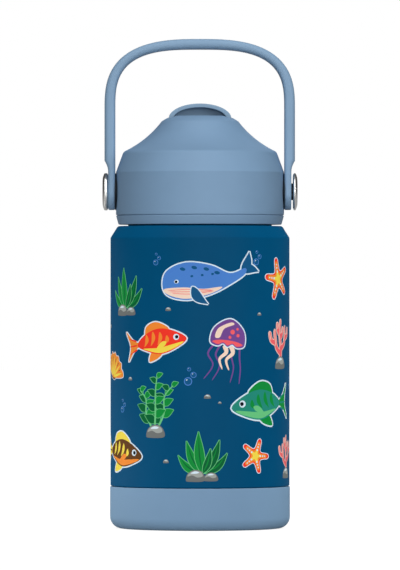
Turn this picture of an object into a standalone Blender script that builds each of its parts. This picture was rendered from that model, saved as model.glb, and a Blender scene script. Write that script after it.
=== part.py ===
"""Insulated kids water bottle with a flip spout and a swinging carry handle.

Metres, +Z up, standing on the origin. The spout drinks towards -Y and the handle pivots along X.
Run with blender --background --python part.py or from the text editor.
"""
from math import asin, cos, hypot, pi, radians, sin, sqrt, tan

import bmesh
import bpy
from mathutils import Matrix, Vector

# Fits and facets
FIT_GAP = 0.0003            # between pieces that touch
SWING_GAP = 0.0004          # round a piece that turns
ROUND_STEPS = 36            # facets round the large turned pieces
SMALL_STEPS = 20            # facets round pins, bores and rivets
FILLET_STEPS = 3
FACET_TURN = 0.35           # share of a facet that a cutter is turned, so that no edges coincide

# Bottle body
BODY_RADIUS = 0.0363
SHOULDER_HEIGHT = 0.1225    # ground to the flat of the shoulder
SHOULDER_INSET = 0.0030     # chamfer, across
SHOULDER_DROP = 0.0048      # chamfer, down
SHOULDER_ROUND = 0.0012
STEEL_WALL = 0.0007
COLLAR_HEIGHT = 0.0028
COLLAR_DEPTH = 0.0021       # stands out from the neck
NECK_INSET = 0.0093         # body to neck
NECK_HEIGHT = 0.0139        # shoulder to the top of the shell's neck
VACUUM_GAP = 0.0015
LINER_WALL = 0.0006
LINER_FILLET = 0.0060
BASE_PLATE_THICKNESS = 0.0008
BASE_PLATE_DISH = 0.0006
BASE_INSULATION = 0.0036    # base plate to liner floor
GETTER_RADIUS = 0.0080
GETTER_THICKNESS = 0.0012

# Silicone boot
BOOT_HEIGHT = 0.0170
BOOT_PROUD = 0.00015        # stands out from the body
BOOT_WALL = 0.0014
BOOT_FLOOR = 0.0020
BOOT_FILLET = 0.0048
BOOT_RING_WIDTH = 0.0055    # ring that it stands on
BOOT_RECESS = 0.0008

# Lid
LID_INSET = 0.00215         # body to lid wall
LID_GAP = 0.0006            # shoulder to lid
LID_WALL = 0.0022
SEAM_HEIGHT = 0.0041        # lower edge to the seam between core and shell
SEAM_DRAFT = 0.0001         # wall tapers in to the seam
LID_DRAFT_HEIGHT = 0.0018
CORE_DRAFT = 0.0010         # core tapers in below the seam
CORE_LIP_HEIGHT = 0.0008
LID_WALL_HEIGHT = 0.0212    # lower edge to the chamfer
CHAMFER_INSET = 0.00305
CHAMFER_RISE = 0.0083
PLATFORM_RADIUS = 0.0156
PLATFORM_ROUND = 0.0022     # height of its rounded edge
PLATFORM_BULGE = 0.00025    # of that edge beyond a straight slope
PLATFORM_FLAT_RADIUS = 0.0110
PLATFORM_RISE = 0.0145      # chamfer to platform
CONE_HOLLOW = 0.0012        # how far the cone below the platform is hollowed
DECK_THICKNESS = 0.0058
THREAD_ROOM = 0.0012        # between neck and skirt
SKIRT_WALL = 0.0016
DISC_THICKNESS = 0.0020
TOWER_RADIUS = 0.0150
TOWER_WALL = 0.0020
TOWER_BLOCK = 0.0110        # solid top of the tower
GASKET_WIDTH = 0.0022
GASKET_THICKNESS = 0.0019

# Flip spout and its hinge
HINGE_OFFSET = 0.0080       # behind the lid's axis
HINGE_DEPTH = 0.0029        # below the platform
HUB_RADIUS = 0.0052
HUB_HALF_LENGTH = 0.0080
SPOUT_REACH = 0.0135        # hinge to lip
SPOUT_HALF_WIDTH = 0.0127
SPOUT_SPRING = 0.0018       # hinge to the foot of the arch
SPOUT_ARCH = 0.0061         # height of the arch
SPOUT_CROWN_LENGTH = 0.0045 # lip to where the hood falls towards the barrel
SPOUT_SIDE_WALL = 0.0021
SPOUT_CROWN = 0.0016        # wall over the mouth
HOOD_BULGE = 0.0006         # of the hood's falling back
SPOUT_FLOOR = 0.0011
MOUTH_DEPTH = 0.0055
PASSAGE_RADIUS = 0.0022
PIN_RADIUS = 0.0012
PIN_COVER = 0.0024          # passage to the pin's inner end
PIN_SEAT = 0.0032           # pin's length outside the hub
PIN_WALL = 0.0018           # deck between pin and slot
SEAL_RADIUS = 0.0039
SEAL_DEPTH = 0.0027         # seal below the hub
PORT_RADIUS = 0.0026

# Straw and vent
STRAW_RADIUS = 0.0036
STRAW_WALL = 0.0010
STRAW_CLEARANCE = 0.0020    # liner floor to straw
SPIGOT_WALL = 0.0017
SPIGOT_LENGTH = 0.0055      # below the lid's disc
SOCKET_DEPTH = 0.0120
VENT_CAP_RADIUS = 0.0030
VENT_STEM_RADIUS = 0.0013
VENT_BULB_RADIUS = 0.0021

# Carry handle and its pivots
PAD_RADIUS = 0.0082
PAD_INSET = 0.00095         # flat pad below the lid wall's outermost line
PAD_CLEARANCE = 0.00085     # seam to the pad's lower edge
STRAP_WIDTH = 0.0145
STRAP_THICKNESS = 0.00425
STRAP_EDGE = 0.0009
HANDLE_RISE = 0.0618        # pivot to crown
ARCH_HEIGHT = 0.0260        # crown above the straight legs
ARCH_POWER = 2.6            # roundness of the outer arch
ARCH_INNER_POWER = 2.8
ARCH_STEPS = 24
TAB_THICKNESS = 0.00275
TAB_ROUND = 0.0002          # tab radius beyond half the strap
RELIEF_BOTTOM = 0.0088      # above the pivot, where the tab ends
RELIEF_TOP = 0.0129         # above the pivot, where the full leg begins
RELIEF_POWER = 1.8          # hollowness of the relief between them
HANDLE_PLAY = 0.0001
BUSH_FLANGE = 0.0004
BUSH_FLANGE_RADIUS = 0.0078
BUSH_WALL = 0.0010
RIVET_SHANK_RADIUS = 0.0021
RIVET_HEAD_RADIUS = 0.00755
RIVET_HEAD_HEIGHT = 0.00205
RIVET_FLAT_RADIUS = 0.0050
INSERT_WALL = 0.0008

# Heights of the bottle
boot_radius = BODY_RADIUS + BOOT_PROUD
boot_inner_radius = boot_radius - BOOT_WALL
foot_radius = boot_inner_radius - FIT_GAP
foot_height = BOOT_FLOOR + FIT_GAP
foot_fillet = BOOT_FILLET - BOOT_WALL - FIT_GAP
plate_top = foot_height + BASE_PLATE_THICKNESS
plate_radius = foot_radius - foot_fillet - STEEL_WALL - FIT_GAP
neck_radius = BODY_RADIUS - NECK_INSET
neck_top = SHOULDER_HEIGHT + NECK_HEIGHT
collar_radius = neck_radius + COLLAR_DEPTH
collar_top = SHOULDER_HEIGHT + COLLAR_HEIGHT
liner_floor = plate_top + BASE_INSULATION
liner_radius = foot_radius - STEEL_WALL - VACUUM_GAP
liner_shoulder = SHOULDER_HEIGHT - STEEL_WALL - VACUUM_GAP
liner_neck_radius = neck_radius - STEEL_WALL - FIT_GAP
rim_top = neck_top + FIT_GAP + LINER_WALL

# Heights and radii of the lid
lid_radius = BODY_RADIUS - LID_INSET
lid_bottom = SHOULDER_HEIGHT + LID_GAP
seam = lid_bottom + SEAM_HEIGHT
wall_top = lid_bottom + LID_WALL_HEIGHT
chamfer_top = wall_top + CHAMFER_RISE
platform = chamfer_top + PLATFORM_RISE
deck_bottom = platform - DECK_THICKNESS
tower_top = deck_bottom - FIT_GAP
tower_hollow_top = tower_top - TOWER_BLOCK
gasket_bottom = rim_top + FIT_GAP
disc_bottom = gasket_bottom + GASKET_THICKNESS + FIT_GAP
disc_top = disc_bottom + DISC_THICKNESS
skirt_inner_radius = neck_radius + THREAD_ROOM
skirt_radius = skirt_inner_radius + SKIRT_WALL
gasket_radius = skirt_inner_radius - FIT_GAP
vent_offset = (TOWER_RADIUS + gasket_radius - GASKET_WIDTH) / 2.0

# Spout mechanism, seen from the hinge
hinge_height = platform - HINGE_DEPTH
spout_bottom = HINGE_DEPTH - DECK_THICKNESS
pin_bore = PIN_RADIUS + FIT_GAP
slot_rear = -pin_bore - PIN_WALL
spout_rear = -hypot(slot_rear, HINGE_DEPTH) - FIT_GAP
slot_front = -hypot(SPOUT_REACH, spout_bottom) - SWING_GAP
pin_inner_end = PASSAGE_RADIUS + PIN_COVER
pin_outer_end = HUB_HALF_LENGTH + PIN_SEAT
seal_bottom = hinge_height - HUB_RADIUS - SEAL_DEPTH
socket_top = disc_bottom - SPIGOT_LENGTH + SOCKET_DEPTH

# Handle mechanism, seen along its pivot
pivot_height = seam + FIT_GAP / 2.0 + PAD_RADIUS + PAD_CLEARANCE
pad_face = lid_radius - PAD_INSET
boss_face = skirt_radius + FIT_GAP
bush_face = pad_face + FIT_GAP + BUSH_FLANGE
leg_inner = bush_face + FIT_GAP + HANDLE_PLAY
tab_outer = leg_inner + TAB_THICKNESS
leg_outer = leg_inner + STRAP_THICKNESS
rivet_seat = tab_outer + HANDLE_PLAY + FIT_GAP
rivet_end = boss_face + FIT_GAP
sleeve_inner_radius = RIVET_SHANK_RADIUS + FIT_GAP
sleeve_radius = sleeve_inner_radius + BUSH_WALL
insert_radius = sleeve_inner_radius + INSERT_WALL

for old_object in list(bpy.data.objects):
    bpy.data.objects.remove(old_object, do_unlink=True)

parts = bpy.data.collections.new("kids_water_bottle")
cutters = bpy.data.collections.new("cutters")
for group in (parts, cutters):
    bpy.context.scene.collection.children.link(group)


def linear(red, green, blue):
    """Screen colour, 0 to 255, as linear light."""
    shares = (channel / 255.0 for channel in (red, green, blue))
    return tuple(s / 12.92 if s <= 0.04045 else ((s + 0.055) / 1.055) ** 2.4 for s in shares)


def finish(name, colour, roughness, metallic=0.0):
    """Principled material in one colour."""
    material = bpy.data.materials.new(name)
    material.use_nodes = True
    shader = material.node_tree.nodes["Principled BSDF"]
    shader.inputs["Base Color"].default_value = (*linear(*colour), 1.0)
    shader.inputs["Roughness"].default_value = roughness
    shader.inputs["Metallic"].default_value = metallic
    return material


def pivot_point(name, location, parent=None):
    """Empty on a joint's axis."""
    empty = bpy.data.objects.new(name, None)
    parts.objects.link(empty)
    empty.parent = parent
    empty.location = location
    empty.empty_display_size = 0.01
    return empty


def outline(*corners):
    """Corners (across, up) or (across, up, fillet radius) as points, with the fillets as arcs."""
    points = []
    for index, corner in enumerate(corners):
        here = Vector(corner[:2])
        if len(corner) == 2:
            points.append(here)
            continue
        before = (Vector(corners[index - 1][:2]) - here).normalized()
        after = (Vector(corners[(index + 1) % len(corners)][:2]) - here).normalized()
        half_angle = before.angle(after) / 2.0
        centre = here + (before + after).normalized() * corner[2] / sin(half_angle)
        spoke = here + before * corner[2] / tan(half_angle) - centre
        last_spoke = here + after * corner[2] / tan(half_angle) - centre
        turn = spoke.angle_signed(last_spoke)
        for step in range(FILLET_STEPS + 1):
            points.append(centre + Matrix.Rotation(-turn * step / FILLET_STEPS, 2) @ spoke)
    return points


def bowed(start, end, rise, steps):
    """Arc from start to end, leaving out both ends, that bulges by rise to the right of its way."""
    start = Vector(start)
    chord = Vector(end) - start
    side = Vector((chord.y, -chord.x)).normalized()
    radius = (chord.length_squared / 4.0 + rise * rise) / (2.0 * abs(rise))
    points = []
    for step in range(1, steps):
        along = step / steps
        from_middle = (along - 0.5) * chord.length
        height = sqrt(radius * radius - from_middle * from_middle) - radius + abs(rise)
        points.append(start + chord * along + side * (height if rise > 0.0 else -height))
    return points


def place(name, mesh, group, parent, location):
    """Link a mesh object, as a sub-part or as a hidden cutter."""
    piece = bpy.data.objects.new(name, mesh)
    group.objects.link(piece)
    piece.parent = parent
    piece.location = location
    if group is cutters:
        piece.hide_render = True
        piece.display_type = "WIRE"
    return piece


def turned(name, profile, steps=ROUND_STEPS, parent=None, location=(0.0, 0.0, 0.0), along=(0, 0, 1),
           group=None):
    """Profile of (radius, height) points, running down its outer side, turned about a line."""
    edges = [(index, index + 1) for index in range(len(profile) - 1)]
    if profile[0][0] > 0.0:
        edges.append((len(profile) - 1, 0))
    mesh = bpy.data.meshes.new(name)
    mesh.from_pydata([(radius, 0.0, height) for radius, height in profile], edges, [])
    piece = place(name, mesh, group or parts, parent, location)
    piece.rotation_euler = Vector((0, 0, 1)).rotation_difference(Vector(along)).to_euler()
    screw = piece.modifiers.new("Turn", "SCREW")
    screw.steps = steps
    screw.render_steps = steps
    screw.use_merge_vertices = True
    screw.merge_threshold = 0.00001
    return piece


def extruded(name, points, half_depth, face, parent=None, location=(0.0, 0.0, 0.0), edge=0.0, group=None):
    """Flat outline with depth on both sides. face is the plane it is drawn in: "XZ" or "YZ"."""
    curve = bpy.data.curves.new(name, "CURVE")
    curve.dimensions = "2D"
    curve.fill_mode = "BOTH"
    curve.extrude = half_depth - edge
    curve.bevel_depth = edge
    curve.bevel_resolution = 1
    curve.offset = -edge
    spline = curve.splines.new("POLY")
    spline.points.add(len(points) - 1)
    for spline_point, (across, up) in zip(spline.points, points):
        spline_point.co = (across, up, 0.0, 1.0)
    spline.use_cyclic_u = True
    drawing = bpy.data.objects.new(name, curve)
    bpy.context.scene.collection.objects.link(drawing)
    mesh = bpy.data.meshes.new_from_object(drawing.evaluated_get(bpy.context.evaluated_depsgraph_get()))
    bpy.data.objects.remove(drawing)
    bpy.data.curves.remove(curve)
    welded = bmesh.new()
    welded.from_mesh(mesh)
    bmesh.ops.remove_doubles(welded, verts=welded.verts, dist=0.000001)
    bmesh.ops.recalc_face_normals(welded, faces=welded.faces)
    welded.to_mesh(mesh)
    welded.free()
    if face == "XZ":
        mesh.transform(Matrix.Rotation(pi / 2.0, 4, "X"))
    else:
        mesh.transform(Matrix(((0, 0, 1), (1, 0, 0), (0, 1, 0))).to_4x4())
    return place(name, mesh, group or parts, parent, location)


def rod(name, radius, start, end, along, parent=None, location=(0.0, 0.0, 0.0), steps=SMALL_STEPS):
    """Round cutter or joining piece from start to end along a line through location."""
    profile = [(0.0, end), (radius, end), (radius, start), (0.0, start)]
    piece = turned(name, profile, steps, parent, location, along, cutters)
    piece.data.transform(Matrix.Rotation(FACET_TURN * 2.0 * pi / steps, 4, "Z"))
    return piece


def block(name, low, high, parent=None):
    """Box cutter or joining piece between two corners."""
    mesh = bpy.data.meshes.new(name)
    box = bmesh.new()
    bmesh.ops.create_cube(box, size=1.0)
    low = Vector(low)
    size = Vector(high) - low
    bmesh.ops.scale(box, vec=size, verts=box.verts)
    bmesh.ops.translate(box, vec=low + size / 2.0, verts=box.verts)
    box.to_mesh(mesh)
    box.free()
    return place(name, mesh, cutters, parent, (0.0, 0.0, 0.0))


def combine(piece, operation, *tools):
    """One Boolean modifier on a piece, with all of its tools in a collection."""
    name = piece.name + "_" + operation.lower()
    group = bpy.data.collections.new(name)
    cutters.children.link(group)
    for tool in tools:
        cutters.objects.unlink(tool)
        group.objects.link(tool)
    modifier = piece.modifiers.new(name, "BOOLEAN")
    modifier.operation = operation
    modifier.operand_type = "COLLECTION"
    modifier.collection = group


def cover(piece, material):
    """Material and smooth shading with sharp edges."""
    piece.data.materials.append(material)
    for modifier in piece.modifiers:
        if modifier.type == "SCREW":
            modifier.use_smooth_shade = True
    smooth = piece.modifiers.new("Facets", "WEIGHTED_NORMAL")
    smooth.keep_sharp = True


# Both sides of the lid, each with the way out from it
SIDES = (("left", (-1, 0, 0)), ("right", (1, 0, 0)))

# Axes of the moving pieces
lid_axis = pivot_point("lid_axis", (0.0, 0.0, 0.0))
hinge = pivot_point("spout_hinge", (0.0, HINGE_OFFSET, hinge_height), lid_axis)
pivot = pivot_point("handle_pivot", (0.0, 0.0, pivot_height), lid_axis)


def make_boot():
    """Silicone cup under the body, standing on a ring."""
    ring_outer = boot_radius - BOOT_FILLET
    ring_inner = ring_outer - BOOT_RING_WIDTH
    boot = turned("boot", outline(
        (0.0, BOOT_FLOOR),
        (boot_inner_radius, BOOT_FLOOR, BOOT_FILLET - BOOT_WALL),
        (boot_inner_radius, BOOT_HEIGHT),
        (boot_radius, BOOT_HEIGHT),
        (boot_radius, 0.0, BOOT_FILLET),
        (ring_inner, 0.0),
        (ring_inner - BOOT_RECESS, BOOT_RECESS),
        (0.0, BOOT_RECESS),
    ))
    cover(boot, finish("boot_silicone", (119, 149, 176), 0.6))


def make_outer_shell():
    """Coated steel shell: neck, collar, chamfered shoulder, wall, and a stepped foot for the boot."""
    step = BOOT_HEIGHT + FIT_GAP
    shoulder_radius = BODY_RADIUS - SHOULDER_INSET
    opening = foot_radius - foot_fillet - STEEL_WALL
    shell = turned("outer_shell", outline(
        (neck_radius, neck_top),
        (neck_radius, collar_top),
        (collar_radius, collar_top),
        (collar_radius, SHOULDER_HEIGHT),
        (shoulder_radius, SHOULDER_HEIGHT, SHOULDER_ROUND),
        (BODY_RADIUS, SHOULDER_HEIGHT - SHOULDER_DROP, SHOULDER_ROUND),
        (BODY_RADIUS, step),
        (foot_radius, step),
        (foot_radius, foot_height, foot_fillet),
        (opening, foot_height),
        (opening, foot_height + STEEL_WALL),
        (foot_radius - STEEL_WALL, foot_height + STEEL_WALL, foot_fillet - STEEL_WALL),
        (foot_radius - STEEL_WALL, step + STEEL_WALL),
        (BODY_RADIUS - STEEL_WALL, step + STEEL_WALL),
        (BODY_RADIUS - STEEL_WALL, SHOULDER_HEIGHT - SHOULDER_DROP - STEEL_WALL),
        (shoulder_radius - STEEL_WALL, SHOULDER_HEIGHT - STEEL_WALL),
        (neck_radius - STEEL_WALL, SHOULDER_HEIGHT - STEEL_WALL),
        (neck_radius - STEEL_WALL, neck_top),
    ))
    cover(shell, finish("shell_coating", (2, 69, 109), 0.55))


def make_inner_liner():
    """Bare steel vessel with a rolled rim that lies on the shell's neck."""
    neck_inner = liner_neck_radius - LINER_WALL
    inner_radius = liner_radius - LINER_WALL
    inner_shoulder = liner_shoulder - LINER_WALL
    liner = turned("inner_liner", outline(
        (0.0, liner_floor + LINER_WALL),
        (inner_radius, liner_floor + LINER_WALL, LINER_FILLET - LINER_WALL),
        (inner_radius, inner_shoulder - SHOULDER_DROP),
        (inner_radius - SHOULDER_INSET, inner_shoulder),
        (neck_inner, inner_shoulder),
        (neck_inner, rim_top),
        (neck_radius, rim_top),
        (neck_radius, rim_top - LINER_WALL),
        (liner_neck_radius, rim_top - LINER_WALL),
        (liner_neck_radius, liner_shoulder),
        (liner_radius - SHOULDER_INSET, liner_shoulder),
        (liner_radius, liner_shoulder - SHOULDER_DROP),
        (liner_radius, liner_floor, LINER_FILLET),
        (0.0, liner_floor),
    ))
    cover(liner, finish("liner_steel", (190, 190, 188), 0.3, 1.0))


def make_base_plate():
    """Dished disc that closes the shell's foot, with the getter of the vacuum space on it."""
    flat_radius = GETTER_RADIUS + BASE_PLATE_DISH
    flat_top = plate_top + BASE_PLATE_DISH
    plate = turned("base_plate", outline(
        (0.0, flat_top),
        (flat_radius, flat_top),
        (plate_radius - BASE_PLATE_THICKNESS, plate_top),
        (plate_radius, plate_top),
        (plate_radius, foot_height),
        (plate_radius - BASE_PLATE_THICKNESS, foot_height),
        (flat_radius, foot_height + BASE_PLATE_DISH),
        (0.0, foot_height + BASE_PLATE_DISH),
    ))
    cover(plate, finish("plate_steel", (180, 180, 178), 0.35, 1.0))
    getter_bottom = flat_top + FIT_GAP
    getter = turned("vacuum_getter", outline(
        (0.0, getter_bottom + GETTER_THICKNESS),
        (GETTER_RADIUS, getter_bottom + GETTER_THICKNESS, GETTER_THICKNESS / 2.0),
        (GETTER_RADIUS, getter_bottom),
        (0.0, getter_bottom),
    ), SMALL_STEPS)
    cover(getter, finish("getter_alloy", (90, 90, 92), 0.6, 1.0))


def make_neck_gasket():
    """Silicone ring between the liner's rim and the lid."""
    edge = GASKET_THICKNESS / 4.0
    top = gasket_bottom + GASKET_THICKNESS
    inner = gasket_radius - GASKET_WIDTH
    gasket = turned("neck_gasket", outline(
        (gasket_radius, top, edge),
        (gasket_radius, gasket_bottom, edge),
        (inner, gasket_bottom),
        (inner, top),
    ), parent=lid_axis)
    cover(gasket, finish("gasket_silicone", (225, 226, 224), 0.5))


def make_lid_core(plastic):
    """Threaded inner moulding: skirt, disc, tower under the spout, and straw spigot."""
    flange_top = seam - FIT_GAP / 2.0
    flange_radius = lid_radius - SEAM_DRAFT
    lip_radius = lid_radius - LID_WALL - FIT_GAP
    collar_room = collar_radius + 2.0 * FIT_GAP
    core = turned("lid_core", outline(
        (0.0, tower_top),
        (TOWER_RADIUS, tower_top),
        (TOWER_RADIUS, disc_top),
        (skirt_radius, disc_top),
        (skirt_radius, flange_top + CORE_LIP_HEIGHT),
        (lip_radius, flange_top + CORE_LIP_HEIGHT),
        (lip_radius, flange_top),
        (flange_radius, flange_top),
        (flange_radius - CORE_DRAFT, lid_bottom),
        (collar_room, lid_bottom),
        (collar_room, collar_top + 2.0 * FIT_GAP),
        (skirt_inner_radius, collar_top + 2.0 * FIT_GAP),
        (skirt_inner_radius, disc_bottom),
        (TOWER_RADIUS - TOWER_WALL, disc_bottom),
        (TOWER_RADIUS - TOWER_WALL, tower_hollow_top),
        (0.0, tower_hollow_top),
    ), parent=lid_axis)
    straw_line = (0.0, HINGE_OFFSET, 0.0)
    straw_bore = STRAW_RADIUS + FIT_GAP
    spigot_bottom = disc_bottom - SPIGOT_LENGTH
    overlap = TOWER_WALL
    post_top = hinge_height - PIN_RADIUS - FIT_GAP
    post_start = HUB_HALF_LENGTH + 2.0 * FIT_GAP
    combine(
        core, "UNION",
        rod("spigot", straw_bore + SPIGOT_WALL, spigot_bottom, tower_hollow_top + overlap, (0, 0, 1),
            location=straw_line),
        block("pin_post_left", (-pin_outer_end, HINGE_OFFSET - PIN_RADIUS, tower_top - overlap),
              (-post_start, HINGE_OFFSET + PIN_RADIUS, post_top)),
        block("pin_post_right", (post_start, HINGE_OFFSET - PIN_RADIUS, tower_top - overlap),
              (pin_outer_end, HINGE_OFFSET + PIN_RADIUS, post_top)),
    )
    hub_end = HUB_HALF_LENGTH + FIT_GAP
    combine(
        core, "DIFFERENCE",
        rod("hub_trough", HUB_RADIUS + FIT_GAP, -hub_end, hub_end, (1, 0, 0), hinge, steps=ROUND_STEPS),
        rod("seal_seat", SEAL_RADIUS + FIT_GAP, seal_bottom - FIT_GAP, hinge_height, (0, 0, 1),
            location=straw_line),
        rod("port", PORT_RADIUS, socket_top - overlap, hinge_height, (0, 0, 1), location=straw_line),
        rod("straw_socket", straw_bore, spigot_bottom - overlap, socket_top, (0, 0, 1), location=straw_line),
        rod("vent_hole", VENT_STEM_RADIUS + FIT_GAP, disc_bottom - overlap, disc_top + overlap, (0, 0, 1),
            location=(0.0, -vent_offset, 0.0)),
    )
    cover(core, plastic)


def make_lid_shell(plastic):
    """Outer moulding: wall, chamfer, hollow cone and platform, slotted for the spout."""
    flare_end = (lid_radius - CHAMFER_INSET, chamfer_top)
    platform_edge = (PLATFORM_RADIUS, platform - PLATFORM_ROUND)
    bottom = seam + FIT_GAP / 2.0
    inner_radius = lid_radius - LID_WALL
    inner_flare = (inner_radius - CHAMFER_INSET, chamfer_top - LID_WALL / 2.0)
    cone_steps = 2 * FILLET_STEPS
    shell = turned("lid_shell", [
        (0.0, platform),
        (PLATFORM_FLAT_RADIUS, platform),
        *bowed((PLATFORM_FLAT_RADIUS, platform), platform_edge, -PLATFORM_BULGE, FILLET_STEPS),
        platform_edge,
        *bowed(platform_edge, flare_end, CONE_HOLLOW, cone_steps),
        flare_end,
        (lid_radius, wall_top),
        (lid_radius, bottom + LID_DRAFT_HEIGHT),
        (lid_radius - SEAM_DRAFT, bottom),
        (inner_radius, bottom),
        (inner_radius, wall_top - LID_WALL / 2.0),
        inner_flare,
        *bowed(inner_flare, (PLATFORM_RADIUS, deck_bottom), -CONE_HOLLOW, cone_steps),
        (PLATFORM_RADIUS, deck_bottom),
        (0.0, deck_bottom),
    ], parent=lid_axis)
    bosses = []
    pad_cuts = []
    for side, outward in SIDES:
        bosses.append(rod("pad_boss_" + side, PAD_RADIUS, boss_face, lid_radius, outward, pivot))
        pad_cuts.append(rod("pad_face_" + side, PAD_RADIUS + SWING_GAP, pad_face, leg_outer, outward, pivot))
        pad_cuts.append(rod("insert_bore_" + side, insert_radius + FIT_GAP, boss_face - LID_WALL, lid_radius,
                            outward, pivot))
    above = platform + SPOUT_ARCH
    below = deck_bottom - LID_WALL
    hood_end = SPOUT_HALF_WIDTH + SWING_GAP
    hood_slot = block("hood_slot", (-hood_end, HINGE_OFFSET + slot_front, below),
                      (hood_end, HINGE_OFFSET + slot_rear, above))
    hub_end = HUB_HALF_LENGTH + FIT_GAP
    hub_slot = block("hub_slot", (-hub_end, HINGE_OFFSET + spout_rear, below - LID_WALL),
                     (hub_end, HINGE_OFFSET + HUB_RADIUS + SWING_GAP, above + LID_WALL))
    pin_slot = extruded("pin_slot", [
        (pin_bore, spout_bottom - LID_WALL),
        *[(pin_bore * cos(radians(angle)), pin_bore * sin(radians(angle))) for angle in range(0, 181, 20)],
        (-pin_bore, spout_bottom - LID_WALL),
    ], pin_outer_end + FIT_GAP, "YZ", hinge, group=cutters)
    combine(shell, "UNION", *bosses)
    combine(shell, "DIFFERENCE", *pad_cuts, hood_slot, hub_slot, pin_slot)
    cover(shell, plastic)


def arch(half_width, rise, foot):
    """Half ellipse on straight legs, standing on foot, seen from the hinge."""
    angles = [2.0 * pi * step / ROUND_STEPS for step in range(ROUND_STEPS // 2 + 1)]
    crown = [(half_width * cos(angle), SPOUT_SPRING + rise * sin(angle)) for angle in angles]
    return [(half_width, foot), *crown, (-half_width, foot)]


def make_spout(plastic):
    """Flip spout: a hollow hood on an arm and barrel, with the drinking passage through the barrel."""
    hood_middle = (spout_rear - SPOUT_REACH) / 2.0
    hood_half_depth = (spout_rear + SPOUT_REACH) / 2.0
    spout = extruded("spout", arch(SPOUT_HALF_WIDTH, SPOUT_ARCH, spout_bottom), hood_half_depth, "XZ", hinge)
    spout.data.transform(Matrix.Translation((0.0, hood_middle, 0.0)))
    above = SPOUT_SPRING + SPOUT_ARCH + FIT_GAP
    fall_start = (SPOUT_CROWN_LENGTH - SPOUT_REACH, above)
    fall_end = (spout_rear + FIT_GAP, HUB_RADIUS + FIT_GAP)
    fall = extruded("hood_fall", [
        fall_start,
        *bowed(fall_start, fall_end, -HOOD_BULGE, FILLET_STEPS),
        fall_end,
        (0.0, HUB_RADIUS + FIT_GAP),
        (0.0, above + SPOUT_ARCH),
        (SPOUT_CROWN_LENGTH - SPOUT_REACH, above + SPOUT_ARCH),
    ], 2.0 * SPOUT_HALF_WIDTH, "YZ", hinge, group=cutters)
    meeting = pi + asin(-spout_bottom / HUB_RADIUS)
    sweep = 2.5 * pi - meeting
    angles = [meeting + sweep * step / SMALL_STEPS for step in range(SMALL_STEPS + 1)]
    barrel = [(HUB_RADIUS * cos(angle), HUB_RADIUS * sin(angle)) for angle in angles]
    arm_front = spout_rear - SPOUT_SIDE_WALL
    arm_bottom = spout_bottom + SPOUT_FLOOR / 2.0
    arm = extruded("spout_arm", [(arm_front, HUB_RADIUS), (arm_front, arm_bottom), *barrel],
                   HUB_HALF_LENGTH, "YZ", hinge, group=cutters)
    combine(spout, "UNION", arm)
    mouth = extruded("mouth", arch(SPOUT_HALF_WIDTH - SPOUT_SIDE_WALL, SPOUT_ARCH - SPOUT_CROWN,
                                   spout_bottom + SPOUT_FLOOR), MOUTH_DEPTH, "XZ", hinge, group=cutters)
    mouth.data.transform(Matrix.Translation((0.0, -SPOUT_REACH, 0.0)))
    passage_end = SPOUT_REACH - MOUTH_DEPTH / 2.0
    passage = rod("passage", PASSAGE_RADIUS, -2.0 * HUB_RADIUS, passage_end, (0, -1, 0), hinge)
    pin_bores = []
    for side, outward in SIDES:
        bore_start = pin_inner_end - FIT_GAP
        pin_bores.append(rod("pin_bore_" + side, pin_bore, bore_start, pin_outer_end, outward, hinge))
        pin = turned("spout_pin_" + side, outline(
            (0.0, pin_outer_end),
            (PIN_RADIUS, pin_outer_end, PIN_RADIUS / 4.0),
            (PIN_RADIUS, pin_inner_end),
            (0.0, pin_inner_end),
        ), SMALL_STEPS, hinge, along=outward)
        cover(pin, finish("pin_steel_" + side, (190, 190, 188), 0.25, 1.0))
    combine(spout, "DIFFERENCE", fall, mouth, passage, *pin_bores)
    cover(spout, plastic)


def make_drinking_line():
    """Seal under the spout's barrel, straw in its spigot, and the vent valve in the lid's disc."""
    straw_line = (0.0, HINGE_OFFSET, 0.0)
    seal = turned("spout_seal", outline(
        (SEAL_RADIUS, hinge_height - HUB_RADIUS / 2.0),
        (SEAL_RADIUS, seal_bottom),
        (PASSAGE_RADIUS, seal_bottom),
        (PASSAGE_RADIUS, hinge_height - HUB_RADIUS / 2.0),
    ), SMALL_STEPS, lid_axis, straw_line)
    saddle_end = 2.0 * SEAL_RADIUS
    combine(seal, "DIFFERENCE", rod("seal_saddle", HUB_RADIUS + FIT_GAP, -saddle_end, saddle_end, (1, 0, 0),
                                    hinge, steps=ROUND_STEPS))
    cover(seal, finish("seal_silicone", (225, 226, 224), 0.5))
    straw_top = socket_top - FIT_GAP
    straw_bottom = liner_floor + LINER_WALL + STRAW_CLEARANCE
    straw = turned("straw", outline(
        (STRAW_RADIUS, straw_top),
        (STRAW_RADIUS, straw_bottom),
        (STRAW_RADIUS - STRAW_WALL, straw_bottom),
        (STRAW_RADIUS - STRAW_WALL, straw_top),
    ), SMALL_STEPS, lid_axis, straw_line)
    cover(straw, finish("straw_plastic", (214, 222, 228), 0.35))
    cap_top = disc_bottom - FIT_GAP
    bulb_bottom = disc_top + FIT_GAP
    vent = turned("vent_valve", outline(
        (0.0, bulb_bottom + VENT_STEM_RADIUS),
        (VENT_STEM_RADIUS / 2.0, bulb_bottom + VENT_STEM_RADIUS),
        (VENT_BULB_RADIUS, bulb_bottom),
        (VENT_STEM_RADIUS, bulb_bottom),
        (VENT_STEM_RADIUS, cap_top),
        (VENT_CAP_RADIUS, cap_top),
        (VENT_CAP_RADIUS, cap_top - VENT_STEM_RADIUS / 4.0),
        (VENT_STEM_RADIUS, cap_top - VENT_STEM_RADIUS / 2.0),
        (0.0, cap_top - VENT_STEM_RADIUS / 2.0),
    ), SMALL_STEPS, lid_axis, (0.0, -vent_offset, 0.0))
    cover(vent, finish("vent_silicone", (225, 226, 224), 0.5))


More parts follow.
